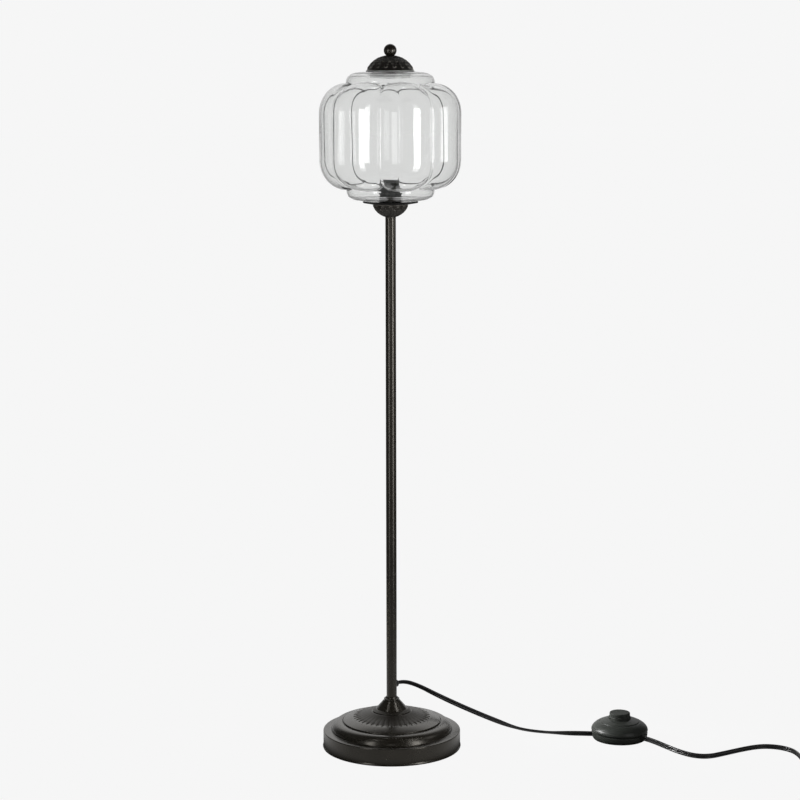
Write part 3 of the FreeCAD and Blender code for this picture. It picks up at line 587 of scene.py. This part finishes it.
def make_rub_highlight_bronze():
    """Dark cast bronze: rubbed wear and painted highlight on raised edges, painted glint flecks."""
    shader = Shader("cast_bronze")
    shader.set({"IOR": 1.6, "Specular Tint": WARM})
    dark = shader.mottle(shader.noise(160.0), *CAST_BRONZE)
    rub_and_highlight = shader.node("ShaderNodeAttribute", attribute_name="rub_and_highlight").outputs["Fac"]
    patches = shader.waver(shader.noise(260.0, detail=1.0), low=0.15, high=1.0)
    # Random flecks of painted glint, added to the rubbed wear and painted highlight
    painted_glints = shader.ramp(shader.noise(420.0, detail=2.0), PAINTED_GLINTS)
    mix = shader.node("ShaderNodeMix", data_type="RGBA")
    rub_highlight_amount = shader.calculate("MULTIPLY_ADD", rub_and_highlight, patches, painted_glints)
    shader.link(rub_highlight_amount, mix.inputs["Factor"])
    shader.link(dark, mix.inputs["A"])
    mix.inputs["B"].default_value = RUB_AND_HIGHLIGHT_COLOUR
    shader.drive("Base Color", mix.outputs["Result"])
    shader.drive("Roughness", shader.waver(shader.noise(64.0), low=0.26, high=0.36))
    shader.bump(shader.noise(960.0, detail=2.0), depth=2.2e-4)
    return shader.material


def make_finishes():
    """All materials of the lamp by name."""
    made = {name: plain_finish(name, *values) for name, values in FINISHES.items()}
    made["cast_bronze"] = make_rub_highlight_bronze()
    made["clear_glass"] = make_glass()
    return made


# Cords


# Routes of the cords: control points in metres
TO_SWITCH = [
    (0.00297, 0.00297, 0.0743),
    (0.01202, 0.01202, 0.0752),
    (0.030, 0.024, 0.0668),
    (0.055, 0.031, 0.0515),
    (0.086, 0.0355, 0.0355),
    (0.119, 0.038, 0.0205),
    (0.150, 0.040, 0.008),
    (0.178, 0.041, 0.0036),
    (0.203, 0.037, 0.0036),
    (0.2235, 0.031, 0.005),
    (0.2495, 0.029, 0.005),
]

TO_COIL = [
    (0.2800, 0.0165, 0.0083),
    (0.2925, 0.0045, 0.0083),
    (0.3060, -0.0055, 0.0068),
    (0.3190, -0.0175, 0.0042),
    (0.332, -0.034, 0.0031),
    (0.347, -0.0495, 0.0031),
    (0.364, -0.0525, 0.0031),
    (0.383, -0.041, 0.0031),
    (0.406, -0.026, 0.0031),
    (0.4255, -0.0158, 0.0031),
    (0.4404, -0.0145, 0.0031),
    (0.4543, -0.0201, 0.0031),
    (0.464, -0.0313, 0.0032),
    (0.4676, -0.0457, 0.0034),
    (0.46873, -0.062, 0.0036),
    (0.46873, -0.0756, 0.0036),
]

TAIL = [
    (0.54808, -0.0756, 0.0097),
    (0.54808, -0.0669, 0.0092),
    (0.54808, -0.0583, 0.0072),
    (0.54808, -0.0496, 0.00685),
]

# Coil, in metres
COIL_CENTRE = (0.5084, -0.080)
COIL_TURNS = 6.5
COIL_INNER_RADIUS = 0.02375
COIL_PITCH = 0.0049
COIL_LOW = 0.0036
COIL_RISE = 0.0061
COIL_STEPS = 18
COIL_CROSSING = 0.3

# Twists of the cords: share of the length, and degrees from standing on edge
TO_SWITCH_TWISTS = [
    (0.0, 45.0),
    (0.1, 45.0),
    (0.34, 0.0),
    (0.5, 0.0),
    (0.64, 62.0),
    (0.76, 62.0),
    (0.9, 0.0),
]
TO_PLUG_TWISTS = [(0.0, -24.0), (0.05, -24.0), (0.1, 0.0), (1.0, 0.0)]


def cord_section():
    """Outline of the flat twin flex as (across its width, across its thickness)."""
    core = CORD_THICKNESS / 2.0
    half = CORD_WIDTH / 2.0
    centre = half - core
    side = []
    for k in range(CORD_ARC_STEPS + 1):
        angle = math.pi * k / CORD_ARC_STEPS
        wide = centre + core * math.cos(angle)
        thick = core * math.sin(angle)
        if wide > 0.0:
            side.append((wide, max(thick, CORD_WEB / 2.0) if wide < centre else thick))
    other_side = [(-wide, thick) for wide, thick in reversed(side)]
    upper = side + [(0.0, CORD_WEB / 2.0 - CORD_NOTCH)] + other_side
    return upper + [(wide, -thick) for wide, thick in reversed(upper[1:-1])]


def sweep_cord(name, line, twists):
    """Flat cord along a line in metres.

    twists gives (share of the length, degrees from standing on edge).
    """
    section = cord_section()
    whole = length_of(line)
    gone = 0.0
    rows = []
    for i, place in enumerate(line):
        if i:
            gone += (place - line[i - 1]).length
        ahead = (line[min(i + 1, len(line) - 1)] - line[max(i - 1, 0)]).normalized()
        side = ahead.cross(Vector((0.0, 0.0, 1.0))).normalized()
        lift = side.cross(ahead)
        share = gone / whole
        twist = twists[0][1]
        for (start, first), (end, last) in zip(twists, twists[1:]):
            twist += (last - first) * smoothstep(start, end, share)
        twist = math.radians(twist)
        broad = lift * math.cos(twist) + side * math.sin(twist)
        thin = side * math.cos(twist) - lift * math.sin(twist)
        rows.append([tuple(place / MM + broad * wide + thin * thick) for wide, thick in section])
    points, faces = skin(rows)
    count = len(section)
    faces.append(tuple(range(count)))
    faces.append(tuple(reversed(range(len(points) - count, len(points)))))
    return build(name, points, faces, CORD_SHARP)


def coil_points():
    """Two layers of turns, wound in along the floor and out again on top."""
    count = int(COIL_TURNS * COIL_STEPS)
    half = COIL_TURNS / 2.0
    points = []
    for k in range(count + 1):
        turned = COIL_TURNS * k / count
        angle = math.pi + 2.0 * math.pi * turned
        radius = COIL_INNER_RADIUS + COIL_PITCH * abs(turned - half)
        climbed = smoothstep(half - COIL_CROSSING, half + COIL_CROSSING, turned)
        height = COIL_LOW + COIL_RISE * climbed
        points.append((
            COIL_CENTRE[0] + radius * math.cos(angle),
            COIL_CENTRE[1] + radius * math.sin(angle),
            height,
        ))
    return points


def make_tie():
    """Strap round the coil's turns, on its far side."""
    gap = 2.6
    inner = PER_METRE * COIL_INNER_RADIUS - gap
    outer = inner + PER_METRE * COIL_PITCH * COIL_TURNS / 2.0 + 2.0 * gap
    low = 0.05
    high = PER_METRE * (COIL_LOW + COIL_RISE) + CORD_WIDTH / 2.0 + 0.9
    corner = 2.2
    corner_steps = 6
    outline = []
    corners = [(outer, high, 0.0), (inner, high, 90.0), (inner, low, 180.0), (outer, low, 270.0)]
    for y, z, first in corners:
        centre_y = y + (corner if y == inner else -corner)
        centre_z = z + (corner if z == low else -corner)
        for k in range(corner_steps + 1):
            angle = math.radians(first + 90.0 / corner_steps * k)
            outline.append((centre_y + corner * math.cos(angle), centre_z + corner * math.sin(angle)))
    thickness = 0.6
    half = 4.0
    middle = (inner + outer) / 2.0
    height = (low + high) / 2.0
    rows = []
    for across, inset in ((-half, 0.0), (half, 0.0), (half, thickness), (-half, thickness)):
        shrink_y = 1.0 - inset / (outer - middle)
        shrink_z = 1.0 - inset / (high - height)
        row = []
        for y, z in outline:
            row.append((
                PER_METRE * COIL_CENTRE[0] + across,
                PER_METRE * COIL_CENTRE[1] + middle + (y - middle) * shrink_y,
                height + (z - height) * shrink_z,
            ))
        rows.append(row)
    return build("coil_tie_strap", *skin(rows, close_rows=True), sharp=40.0)


def make_cords():
    """Cord from the pole to the switch, whose pieces are given, and on by the coil to the plug."""
    line = smooth_line(TO_SWITCH)
    flex = sweep_cord("flex_to_switch", line, TO_SWITCH_TWISTS)
    dress(flex, "stand", "black_pvc", "cord_to_switch")
    line = smooth_line(TO_COIL + coil_points() + TAIL)
    lead = sweep_cord("flex_to_plug", line, TO_PLUG_TWISTS)
    dress(lead, "stand", "black_pvc", "cord_to_coil", "cord_coil", "cord_tail")
    tie = dress(make_tie(), "stand", "tie_strap", "coil_tie")


# Stand


def flute(radius, angle):
    """Relief of the gaps between the ribs of the base's ring, deepest at their rounded outer ends."""
    if not FLUTE_INNER < radius < FLUTE_OUTER:
        return 0.0
    across = abs((angle * FLUTE_COUNT / (2.0 * math.pi)) % 1.0 - 0.5) * 2.0
    past = max(0.0, radius - (FLUTE_OUTER - FLUTE_END)) / FLUTE_END
    gap = FLUTE_GAP * math.sqrt(max(0.0, 1.0 - past**3))
    share = smoothstep(*FLUTE_DEEPENS, radius)
    depth = FLUTE_DEPTH + (FLUTE_END_DEPTH - FLUTE_DEPTH) * share
    starts = smoothstep(FLUTE_INNER, FLUTE_INNER + FLUTE_FADE, radius)
    depth *= starts * smoothstep(1.0, FLUTE_CLOSES, past)
    return -depth * smoothstep(gap + FLUTE_EDGE, gap - FLUTE_EDGE, across)


def make_base():
    """Stepped shell: rolled foot, upright side, swelling, step, plate, fluted ring and crown."""
    ring = []
    for k in range(RING_STEPS + 1):
        t = k / RING_STEPS
        radius = RING_START[0] + RING_RUN[0] * t
        height = RING_START[1] + RING_RUN[1] * t - 4.0 * RING_SAG * t * (1.0 - t)
        ring.append((radius, height, 0))
    corners = [
        (78.0, 0.8, 0),
        (80.3, 0.8, 0.5),
        (80.7, 2.0, 0.8),
        (80.0, 3.4, 0.5),
        (80.0, 21.0, 1.3),
        (70.9, 21.0, 0.7),
        *bow((70.5, 21.2), (58.2, 30.8), rise=3.3),
        (57.9, 30.9, 0.3),
        (57.4, 30.1, 0.2),
        (56.8, 30.1, 0.2),
        (56.7, 32.2, 0.6),
        *ring,
        (23.2, 43.1, 0.3),
        (5.3, 43.1, 0),
        (5.3, 41.0, 0),
        (24.0, 41.0, 0),
        (55.0, 30.0, 0),
        (68.0, 19.4, 0),
        (78.0, 19.4, 0),
    ]
    rows = turn(rounded(corners), FLUTE_COUNT * FLUTE_STEPS, flute)
    piece = build("base_body", *skin(rows, close_rows=True), BASE_SHARP)
    dress(piece, "stand", "dark_bronze", "base_shell")
    make_matt(piece, *BASE_MATT)


def make_matt(piece, inner, outer, low):
    """Give the upper faces between two radii a matt finish."""
    piece.data.materials.append(finishes["matt_bronze"])
    for face in piece.data.polygons:
        radius = face.center.xy.length / MM
        if inner < radius < outer and face.center.z > low * MM and face.normal.z > UPWARD:
            face.material_index = 1


def make_cone():
    """Flared cone with a rounded lip at its foot and a groove under the ring at its top."""
    corners = [
        (19.0, 43.1, 0),
        (22.5, 43.1, 0.3),
        (22.6, 43.9, 0.5),
        (21.3, 44.5, 0.8),
        (18.0, 46.0, 3.0),
        (9.9, 55.4, 0.3),
        (9.4, 56.0, 0.3),
        (8.0, 56.2, 0.1),
        (8.0, 57.1, 0),
        (5.3, 57.1, 0),
        (5.3, 55.0, 0),
        (8.4, 54.0, 0),
        (16.5, 44.6, 0),
    ]
    piece = build("cone_flare", *skin(turn(rounded(corners), TURN_STEPS), close_rows=True))
    dress(piece, "stand", "dark_bronze", "base_cone")
    make_matt(piece, *CONE_MATT)


def leaf(angle, share, count, shift, foot, tip):
    """Height, and rubbed wear with painted highlight, from 0 to 1, of a row of leaves with a raised
    edge, a midrib and veins.
    """
    along = (share - foot) / (tip - foot)
    if not 0.0 < along < 1.0:
        return 0.0, 0.0
    place = angle * count / (2.0 * math.pi) + shift
    across = place % 1.0 - 0.5
    scallop = LEAF_FULL + LEAF_SCALLOP * math.cos(LEAF_SCALLOPS * math.pi * along)
    width = LEAF_WIDTH * math.sqrt(1.0 - along**LEAF_TAPER) * scallop
    inside = width - abs(across)
    if inside <= 0.0:
        return 0.0, 0.0
    hollow = LEAF_HOLLOW * smoothstep(*LEAF_HOLLOW_SPAN, inside)
    edge = smoothstep(0.0, LEAF_EDGE, inside) * (1.0 - hollow)
    rib = math.exp(-((across / LEAF_RIB) ** 2)) * (1.0 - LEAF_RIB_FALL * along)
    veins = LEAF_VEIN * math.sin(LEAF_VEIN_STEP * along + LEAF_VEIN_LEAN * abs(across))
    height = max(0.0, max(edge, rib) + veins * smoothstep(*LEAF_VEIN_SPAN, inside))
    number = math.floor(place)
    leaf_rub_highlight = LEAF_RUB_HIGHLIGHT + LEAF_RUB_HIGHLIGHT_SWING * math.sin(LEAF_RUB_HIGHLIGHT_STEP * number * number + 1.0)
    rub_highlight_amount = RUB_HIGHLIGHT_LEAST + RUB_HIGHLIGHT_MORE * leaf_rub_highlight * smoothstep(*RUB_HIGHLIGHT_TIP, along)
    return height, smoothstep(*RUB_HIGHLIGHT_EDGE, edge) * rub_highlight_amount


def ornament(angle, share, count):
    """Height, and rubbed wear with painted highlight, of two rows of leaves with their tips towards the
    rim, over a pricked ground.
    """
    low, low_rub_and_highlight = leaf(angle, share, count, 0.0, *LOW_LEAVES)
    high, high_rub_and_highlight = leaf(angle, share, count, 0.5, *HIGH_LEAVES)
    high *= HIGH_LEAF_RISE
    high_rub_and_highlight *= HIGH_LEAF_RUB_HIGHLIGHT
    ground = GROUND_RISE * math.sin(angle * count * GROUND_TURNS) * math.sin(share * GROUND_ROWS)
    return max(low, high, ground), low_rub_and_highlight if low > high else high_rub_and_highlight


def embossed(name, outer, inner, count, depth, leaves, flip, rim):
    """Turned shell whose outside carries the ornament, pushed out along the outline's normal."""
    rows = []
    rub_and_highlight = []
    last = len(outer) - 1
    for i, (radius, height) in enumerate(outer):
        before = outer[max(i - 1, 0)]
        after = outer[min(i + 1, last)]
        way = (Vector(after) - Vector(before)).normalized()
        share = 1.0 - i / last if flip else i / last
        fade = smoothstep(*EMBOSS_FOOT, share) * smoothstep(*EMBOSS_TOP, share)
        row = []
        for k in range(count):
            angle = 2.0 * math.pi * k / count
            rise, leaf_rub_and_highlight = ornament(angle, share, leaves)
            rise *= depth * fade
            reach = radius + way.y * rise
            row.append((reach * math.cos(angle), reach * math.sin(angle), height - way.x * rise))
            # Raised edges, leaf tips and the rim band are lightened: rubbed wear and painted highlight
            rub_and_highlight.append(max(leaf_rub_and_highlight * fade, rim * smoothstep(*EMBOSS_RIM, share)))
        rows.append(row)
    rows += turn(inner, count)
    rub_and_highlight += [0.0] * (len(inner) * count)
    return build(name, *skin(rows, close_rows=True), EMBOSS_SHARP, rub_and_highlight)


def make_cap():
    """Low dome with a flared rim."""
    outer = [Vector((27.4, 781.5)), Vector((26.9, 781.9)), Vector((26.3, 782.4))]
    outer += [Vector(corner[:2]) for corner in bow((26.0, 783.0), (4.0, 798.0), rise=3.4, steps=96)]
    outer += [Vector((3.7, 798.0))]
    inner = [(2.0, 798.0), (2.0, 796.6), (9.0, 795.4), (17.0, 791.4), (22.6, 786.0), (25.3, 781.5)]
    piece = embossed("cap_ornament", outer, inner, count=640, depth=0.8, leaves=16, flip=False, rim=0.0)
    dress(piece, "lid", "cast_bronze", "cap_dome")


def make_cup():
    """Bowl cut from a sphere whose middle lies above the rim."""
    foot = 617.3
    rim = 631.3 + GALLERY_LIFT
    bowl_depth = 13.5
    bowl_radius = 21.0
    middle_over_rim = 6.6
    steps = 90
    outer = [Vector((6.0, foot)), Vector((6.0, foot + GALLERY_LIFT))]
    for k in range(steps + 1):
        drop = bowl_depth * (1.0 - k / steps)
        outer.append(Vector((math.sqrt(bowl_radius**2 - (middle_over_rim + drop) ** 2), rim - drop)))
    inner = [(18.8, rim), (16.0, 625.5), (12.0, 621.8), (8.6, 619.7), (5.3, 619.7), (5.3, foot)]
    # The cup's rim gets a band of rubbed wear and painted highlight
    piece = embossed("cup_ornament", outer, inner, count=560, depth=0.7, leaves=14, flip=True, rim=0.35)
    dress(piece, "stand", "cast_bronze", "gallery_cup")


def make_dish():
    """Saucer under the glass, with a rolled rim."""
    corners = [
        (11.2, 631.3, 0),
        (20.8, 631.3, 1.0),
        (30.4, 632.9, 0.8),
        (31.4, 633.7, 0.5),
        (31.2, 634.4, 0.3),
        (30.2, 634.3, 0.5),
        (20.6, 632.3, 1.0),
        (11.2, 632.3, 0),
    ]
    corners = [(radius, height + GALLERY_LIFT, rounding) for radius, height, rounding in corners]
    piece = build("dish_saucer", *skin(turn(rounded(corners), TURN_STEPS), close_rows=True))
    dress(piece, "stand", "shadow_bronze", "shade_dish")


def make_neck():
    """Ring with a sloping top where the pole comes out of the cone."""
    corners = [
        (5.3, 57.1, 0),
        (8.7, 57.1, 0.15),
        (9.1, 57.5, 0.2),
        (8.9, 58.1, 0.25),
        (7.9, 58.3, 0.3),
        (6.4, 60.2, 0.4),
        (5.9, 60.5, 0),
        (5.3, 60.5, 0),
    ]
    piece = build("neck_collar", *skin(turn(rounded(corners), count=120), close_rows=True))
    dress(piece, "stand", "dark_bronze", "neck_ring")


# Glass


def ripple(angle, height, phase):
    """Slight unevenness of blown glass."""
    first = math.sin(height / RIPPLE_LENGTHS[0] + RIPPLE_TURNS[0] * angle + phase)
    second = math.sin(height / RIPPLE_LENGTHS[1] - RIPPLE_TURNS[1] * angle + 2.0 * phase)
    return RIPPLE * (first + RIPPLE_SECOND * second)


def glass_half(angle, hole, lift):
    """Outline in one direction from the hole's edge to the middle of the upright wall.

    Its points are (radius, depth). lift is how far it stands back outside the seat round the hole.
    """
    pitch = 2.0 * math.pi / LOBE_COUNT
    turned = (angle - math.radians(LOBE_FIRST_ANGLE)) % pitch
    off = min(turned, pitch - turned)
    lobe = 1.0 - 2.0 * (2.0 * off / pitch) ** 2
    crease = math.exp(-(((pitch / 2.0 - off) * WALL_RADIUS / CREASE_WIDTH) ** 2))
    wall = WALL_RADIUS + LOBE_RISE * lobe - CREASE_DEPTH * crease
    pinch = math.exp(-(((pitch / 2.0 - off) * SHOULDER_RADIUS / PINCH_WIDTH) ** 2))
    dimple = DIMPLE * (0.5 - 0.5 * lobe) + PINCH * pinch
    seat = COLLAR[0][0]
    flat = seat - hole
    outline = [Vector((hole + flat * k / COLLAR_STEPS, 0.0)) for k in range(COLLAR_STEPS)]
    outline += curve_through(COLLAR, COLLAR_STEPS)
    for k in range(SHOULDER_STEPS + 1):
        lean = math.pi / 2.0 * k / SHOULDER_STEPS
        outline.append(Vector((
            SHOULDER_RADIUS + (wall - SHOULDER_RADIUS) * math.sin(lean),
            SHOULDER_DEPTH + dimple * math.cos(lean) ** 2 + SHOULDER_DROP * (1.0 - math.cos(lean)),
        )))
    foot = SHOULDER_DEPTH + SHOULDER_DROP
    middle = (GLASS_TOP - GLASS_FOOT) / 2.0
    for k in range(1, WALL_STEPS + 1):
        outline.append(Vector((wall, foot + (middle - foot) * k / WALL_STEPS)))
    return [Vector((r, depth + lift * smoothstep(seat, seat + SEAT_FADE, r))) for r, depth in outline]


def inner_side(outline):
    """The same outline moved in by the thickness of the glass."""
    last = len(outline) - 1
    moved = []
    for i, place in enumerate(outline):
        way = (outline[min(i + 1, last)] - outline[max(i - 1, 0)]).normalized()
        moved.append(place + GLASS_WALL * Vector((-way.y, way.x)))
    return moved


def glass_skin(angle, inside, phase):
    """Outline in one direction from the neck's edge down to the edge of the foot hole."""
    top = glass_half(angle, GLASS_NECK, 0.0)
    low = glass_half(angle, GLASS_FOOT_HOLE, FOOT_LIFT)
    if inside:
        top = inner_side(top)
        low = inner_side(low)
    outline = [(r, GLASS_TOP - depth) for r, depth in top]
    outline += [(r, GLASS_FOOT + depth) for r, depth in reversed(low[:-1])]
    shaped = []
    for r, height in outline:
        share = smoothstep(SHOULDER_RADIUS - RIPPLE_FADE, SHOULDER_RADIUS + RIPPLE_FADE, r)
        shaped.append((r + share * ripple(angle, height, phase), height))
    return shaped


def lobe_angles():
    """Directions round the glass, closer together at the creases."""
    pitch = 2.0 * math.pi / LOBE_COUNT
    first = math.radians(LOBE_FIRST_ANGLE) - pitch / 2.0
    angles = []
    for lobe in range(LOBE_COUNT):
        for k in range(LOBE_STEPS):
            share = k / LOBE_STEPS
            back = LOBE_CROWDING * math.sin(2.0 * math.pi * share) / (2.0 * math.pi)
            angles.append(first + pitch * (lobe + share - back))
    return angles


def make_glass_shade():
    """Lobed lantern with both sides of its wall and rounded lips at its two holes."""
    half = GLASS_WALL / 2.0
    columns = []
    for angle in lobe_angles():
        outer = glass_skin(angle, False, RIPPLE_PHASES[0])
        inner = glass_skin(angle, True, RIPPLE_PHASES[1])
        foot_lip = []
        neck_lip = []
        for step in range(1, LIP_STEPS):
            lean = math.pi * step / LIP_STEPS
            out = half * math.sin(lean)
            up = half * math.cos(lean)
            foot_lip.append((GLASS_FOOT_HOLE - out, GLASS_FOOT + half - up))
            neck_lip.append((GLASS_NECK - out, GLASS_TOP - half - up))
        loop = outer + foot_lip + inner[::-1] + neck_lip
        columns.append([(r * math.cos(angle), r * math.sin(angle), height) for r, height in loop])
    piece = build("glass_lantern", *skin(columns, close_rows=True), GLASS_SHARP)
    dress(piece, "stand", "clear_glass", "glass_shade")


# Foot switch


def make_switch():
    """Tray and cover of the foot switch, with a groove between them."""
    side = [(29.6, 0.2), (30.8, 0.4), (31.8, 1.8), (32.6, 4.2), (33.0, 7.2), (33.0, 8.2)]
    floor = [(0.0, 1.0), (29.2, 1.0)]
    lip = [(32.0, 8.6), (31.4, 9.0), (31.4, 9.4), (30.2, 9.4)]
    inside = [(28.4, 3.0), (0.0, 3.0)]
    tray = [*floor, *curve_through(side, steps=5), *lip, *inside]
    low_piece = build("switch_tray", *skin(turn(tray, TURN_STEPS, x=SWITCH_X, y=SWITCH_Y)))
    dress(low_piece, "stand", "black_plastic", "switch_bottom")
    cover = [(31.4, 9.4), (32.5, 9.4), (33.1, 10.0)]
    for k in range(1, DOME_STEPS):
        lean = math.pi / 2.0 * k / DOME_STEPS
        radius = DOME_RADIUS * math.cos(lean) ** DOME_POWER
        height = DOME_LOW + DOME_RISE * math.sin(lean) ** DOME_POWER
        if radius < DOME_HOLE:
            break
        sunk = DOME_GROOVE * math.exp(-(((radius - DOME_GROOVE_RADIUS) / DOME_GROOVE_WIDTH) ** 2))
        cover.append((radius - 0.5 * sunk, height - sunk))
    cover += [(DOME_HOLE, 24.0), (13.2, 24.0), (13.2, 21.8), (20.0, 20.0), (28.0, 15.0), (31.4, 11.0)]
    rows = turn(cover, count=200, x=SWITCH_X, y=SWITCH_Y)
    piece = build("switch_cover", *skin(rows, close_rows=True))
    dress(piece, "stand", "black_plastic", "switch_dome")
    return [low_piece, piece]


def make_spring():
    """Return spring under the button, drawn at one length; the real one shortens as the button goes
    down.
    """
    low = 12.0
    high = 19.9
    turns = 4.0
    wire = 0.45
    radius = 5.2
    count = 96
    sides = 10
    rows = []
    for k in range(count + 1):
        t = k / count
        angle = 2.0 * math.pi * turns * t
        row = []
        for j in range(sides):
            lean = 2.0 * math.pi * j / sides
            reach = radius + wire * math.cos(lean)
            height = low + wire + (high - low - 2.0 * wire) * t + wire * math.sin(lean)
            row.append((SWITCH_X + reach * math.cos(angle), SWITCH_Y + reach * math.sin(angle), height))
        rows.append(row)
    points, faces = skin(rows)
    faces.append(tuple(range(sides)))
    faces.append(tuple(reversed(range(len(points) - sides, len(points)))))
    piece = dress(build("return_spring", points, faces), "stand", "zinc_steel", "switch_spring")
    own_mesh(piece)
    return piece


# Floor, surroundings and light


def make_floor():
    """Pale glowing floor, darker in reflections, with painted shadow round the base and the switch."""
    mesh = bpy.data.meshes.new("floor")
    corners = [(-1.0, -1.0), (1.0, -1.0), (1.0, 1.0), (-1.0, 1.0)]
    mesh.from_pydata([(FLOOR_SIZE * x, FLOOR_SIZE * y, 0.0) for x, y in corners], [], [(0, 1, 2, 3)])
    floor = bpy.data.objects.new("floor", mesh)
    bpy.context.collection.objects.link(floor)
    shader = Shader("pale_floor")
    shader.drive("Base Color", shader.mottle(shader.noise(FLOOR_GRAIN), *FLOOR_TINT))
    shader.set({"Roughness": 1.0, "IOR": 1.0, "Emission Color": (1.0, 1.0, 1.0, 1.0)})
    light = None
    # The glow seen in reflections, with painted shadow round the base and the switch
    for middle, near, far, near_light, far_light in FLOOR_SHADES:
        away = shader.node("ShaderNodeVectorMath", operation="DISTANCE")
        shader.link(shader.place, away.inputs[0])
        away.inputs[1].default_value = [MM * value for value in middle]
        shade = shader.scale(away.outputs["Value"], MM * near, MM * far, near_light, far_light,
                             kind="SMOOTHSTEP")
        light = shade if light is None else shader.calculate("MINIMUM", light, shade)
    place = shader.split(shader.place)
    aside = shader.calculate("ABSOLUTE", place["X"])
    depth = shader.calculate("MULTIPLY_ADD", aside, -FLOOR_WEDGE, place["Y"])
    start, end = (MM * value for value in FLOOR_BEHIND)
    levels = [
        (shader.scale(depth, start, end, kind="SMOOTHSTEP"), PALE),
        (shader.deeper_than(0), GLASS_LIGHT),
        (shader.seen_directly(), PALE - FLOOR_DIMMING),
    ]
    for factor, brightness in levels:
        level = shader.node("ShaderNodeMix")
        shader.link(factor, level.inputs["Factor"])
        shader.link(light, level.inputs["A"])
        level.inputs["B"].default_value = brightness
        light = level.outputs["Result"]
    shader.drive("Emission Strength", light)
    mesh.materials.append(shader.material)


def make_world():
    """Pale surroundings: bright behind the lamp, dark at the sides and in front, dim overhead."""
    world = bpy.data.worlds.new("studio")
    bpy.context.scene.world = world
    world.use_nodes = True
    sky = Nodes(world.node_tree)
    way = sky.node("ShaderNodeTexCoord").outputs["Generated"]
    level = sky.node("ShaderNodeVectorMath", operation="MULTIPLY")
    level.inputs[1].default_value = (1.0, 1.0, 0.0)
    sky.link(way, level.inputs[0])
    bearing = sky.node("ShaderNodeVectorMath", operation="NORMALIZE")
    sky.link(level.outputs["Vector"], bearing.inputs[0])
    behind = sky.scale(sky.split(bearing.outputs["Vector"])["Y"], -1.0, 1.0)
    around = sky.ramp(behind, [(spot, (grey, grey, grey)) for spot, grey in SURROUNDINGS])
    height = sky.split(way)["Z"]
    graded = sky.node("ShaderNodeVectorMath", operation="SCALE")
    sky.link(around, graded.inputs[0])
    sky.link(sky.scale(height, *SHARE_SPAN, LOW_SHARE, HIGH_SHARE), graded.inputs["Scale"])
    colour = graded.outputs["Vector"]
    levels = [
        (sky.scale(height, *OVERHEAD_SPAN), OVERHEAD),
        (sky.deeper_than(0), GLASS_LIGHT),
        (sky.seen_directly(), PALE),
    ]
    for factor, grey in levels:
        mix = sky.node("ShaderNodeMix", data_type="RGBA")
        sky.link(factor, mix.inputs["Factor"])
        sky.link(colour, mix.inputs["A"])
        mix.inputs["B"].default_value = (grey, grey, grey, 1.0)
        colour = mix.outputs["Result"]
    sky.link(colour, sky.tree.nodes["Background"].inputs["Color"])


def hide_through_glass(data):
    """Keep a panel from showing straight through the glass, as it doesn't show beside it."""
    data.use_nodes = True
    panel = Nodes(data.node_tree)
    path = panel.node("ShaderNodeLightPath")
    mirrored = panel.calculate("GREATER_THAN", path.outputs["Glossy Depth"], 0.5)
    outside = panel.calculate("SUBTRACT", 1.0, panel.deeper_than(BOTH_WALLS))
    shown = panel.calculate("MAXIMUM", mirrored, outside)
    panel.link(shown, panel.tree.nodes["Emission"].inputs["Strength"])


def make_panel(name, bearing, distance, wide, low, high, radiance):
    """Upright light panel with a grid, at a bearing to the right of the camera, facing the lamp."""
    data = bpy.data.lights.new(name, "AREA")
    data.shape = "RECTANGLE"
    data.size = wide
    data.size_y = high - low
    data.spread = math.radians(PANEL_SPREAD)
    half = data.spread / 2.0
    grid_loss = (half / 2.0 - math.sin(2.0 * half) / 4.0) / math.tan(half)
    flux = 2.0 * math.pi * (math.sin(half) ** 2 / 2.0 - grid_loss)
    data.energy = radiance * wide * (high - low) * flux
    light = bpy.data.objects.new(name, data)
    angle = math.radians(bearing)
    place = Vector((math.sin(angle), -math.cos(angle), 0.0)) * distance
    light.location = (place.x, place.y, (low + high) / 2.0)
    light.rotation_euler = (math.radians(90.0), 0.0, angle)
    light.visible_camera = False
    hide_through_glass(data)
    bpy.context.collection.objects.link(light)


def make_spot(name, target, way, distance, energy, radius, angle):
    """Soft light with a narrow beam from one direction on one part of the lamp."""
    data = bpy.data.lights.new(name, "SPOT")
    data.energy = energy
    data.shadow_soft_size = radius
    data.spot_size = math.radians(angle)
    data.spot_blend = SPOT_BLEND
    light = bpy.data.objects.new(name, data)
    target = Vector(target) * MM
    light.location = target + distance * Vector(way).normalized()
    light.rotation_euler = (target - light.location).to_track_quat("-Z", "Y").to_euler()
    light.visible_camera = False
    bpy.context.collection.objects.link(light)


make_camera()
finishes = make_finishes()
make_base()
make_cone()
make_cup()
make_dish()
make_cap()
make_neck()
make_glass_shade()
dressed = [*make_switch(), make_spring()]
make_cords()

for node in nodes.values():
    for slot in node.material_slots:
        slot.material = finishes[slot.material.name.split(".")[0]]
for slot in nodes["switch_button"].material_slots:
    slot.material = finishes["matt_plastic"]

make_floor()
make_world()
for name, bearing, distance, wide, radiance in PANELS:
    make_panel(name + "_panel", bearing, distance, wide, PANEL_MIDDLE, PANEL_TOP, radiance)
    low_radiance = LOW_PANEL_SHARE * radiance
    make_panel(name + "_low_panel", bearing, distance, wide, PANEL_LOW, PANEL_MIDDLE, low_radiance)
for name, bearing, distance, wide, radiance in SIDE_PANELS:
    make_panel(name + "_panel", bearing, distance, wide, SIDE_PANEL_LOW, PANEL_TOP, radiance)
for spot in SPOTS:
    make_spot(*spot)
bpy.context.scene.view_settings.view_transform = "Standard"
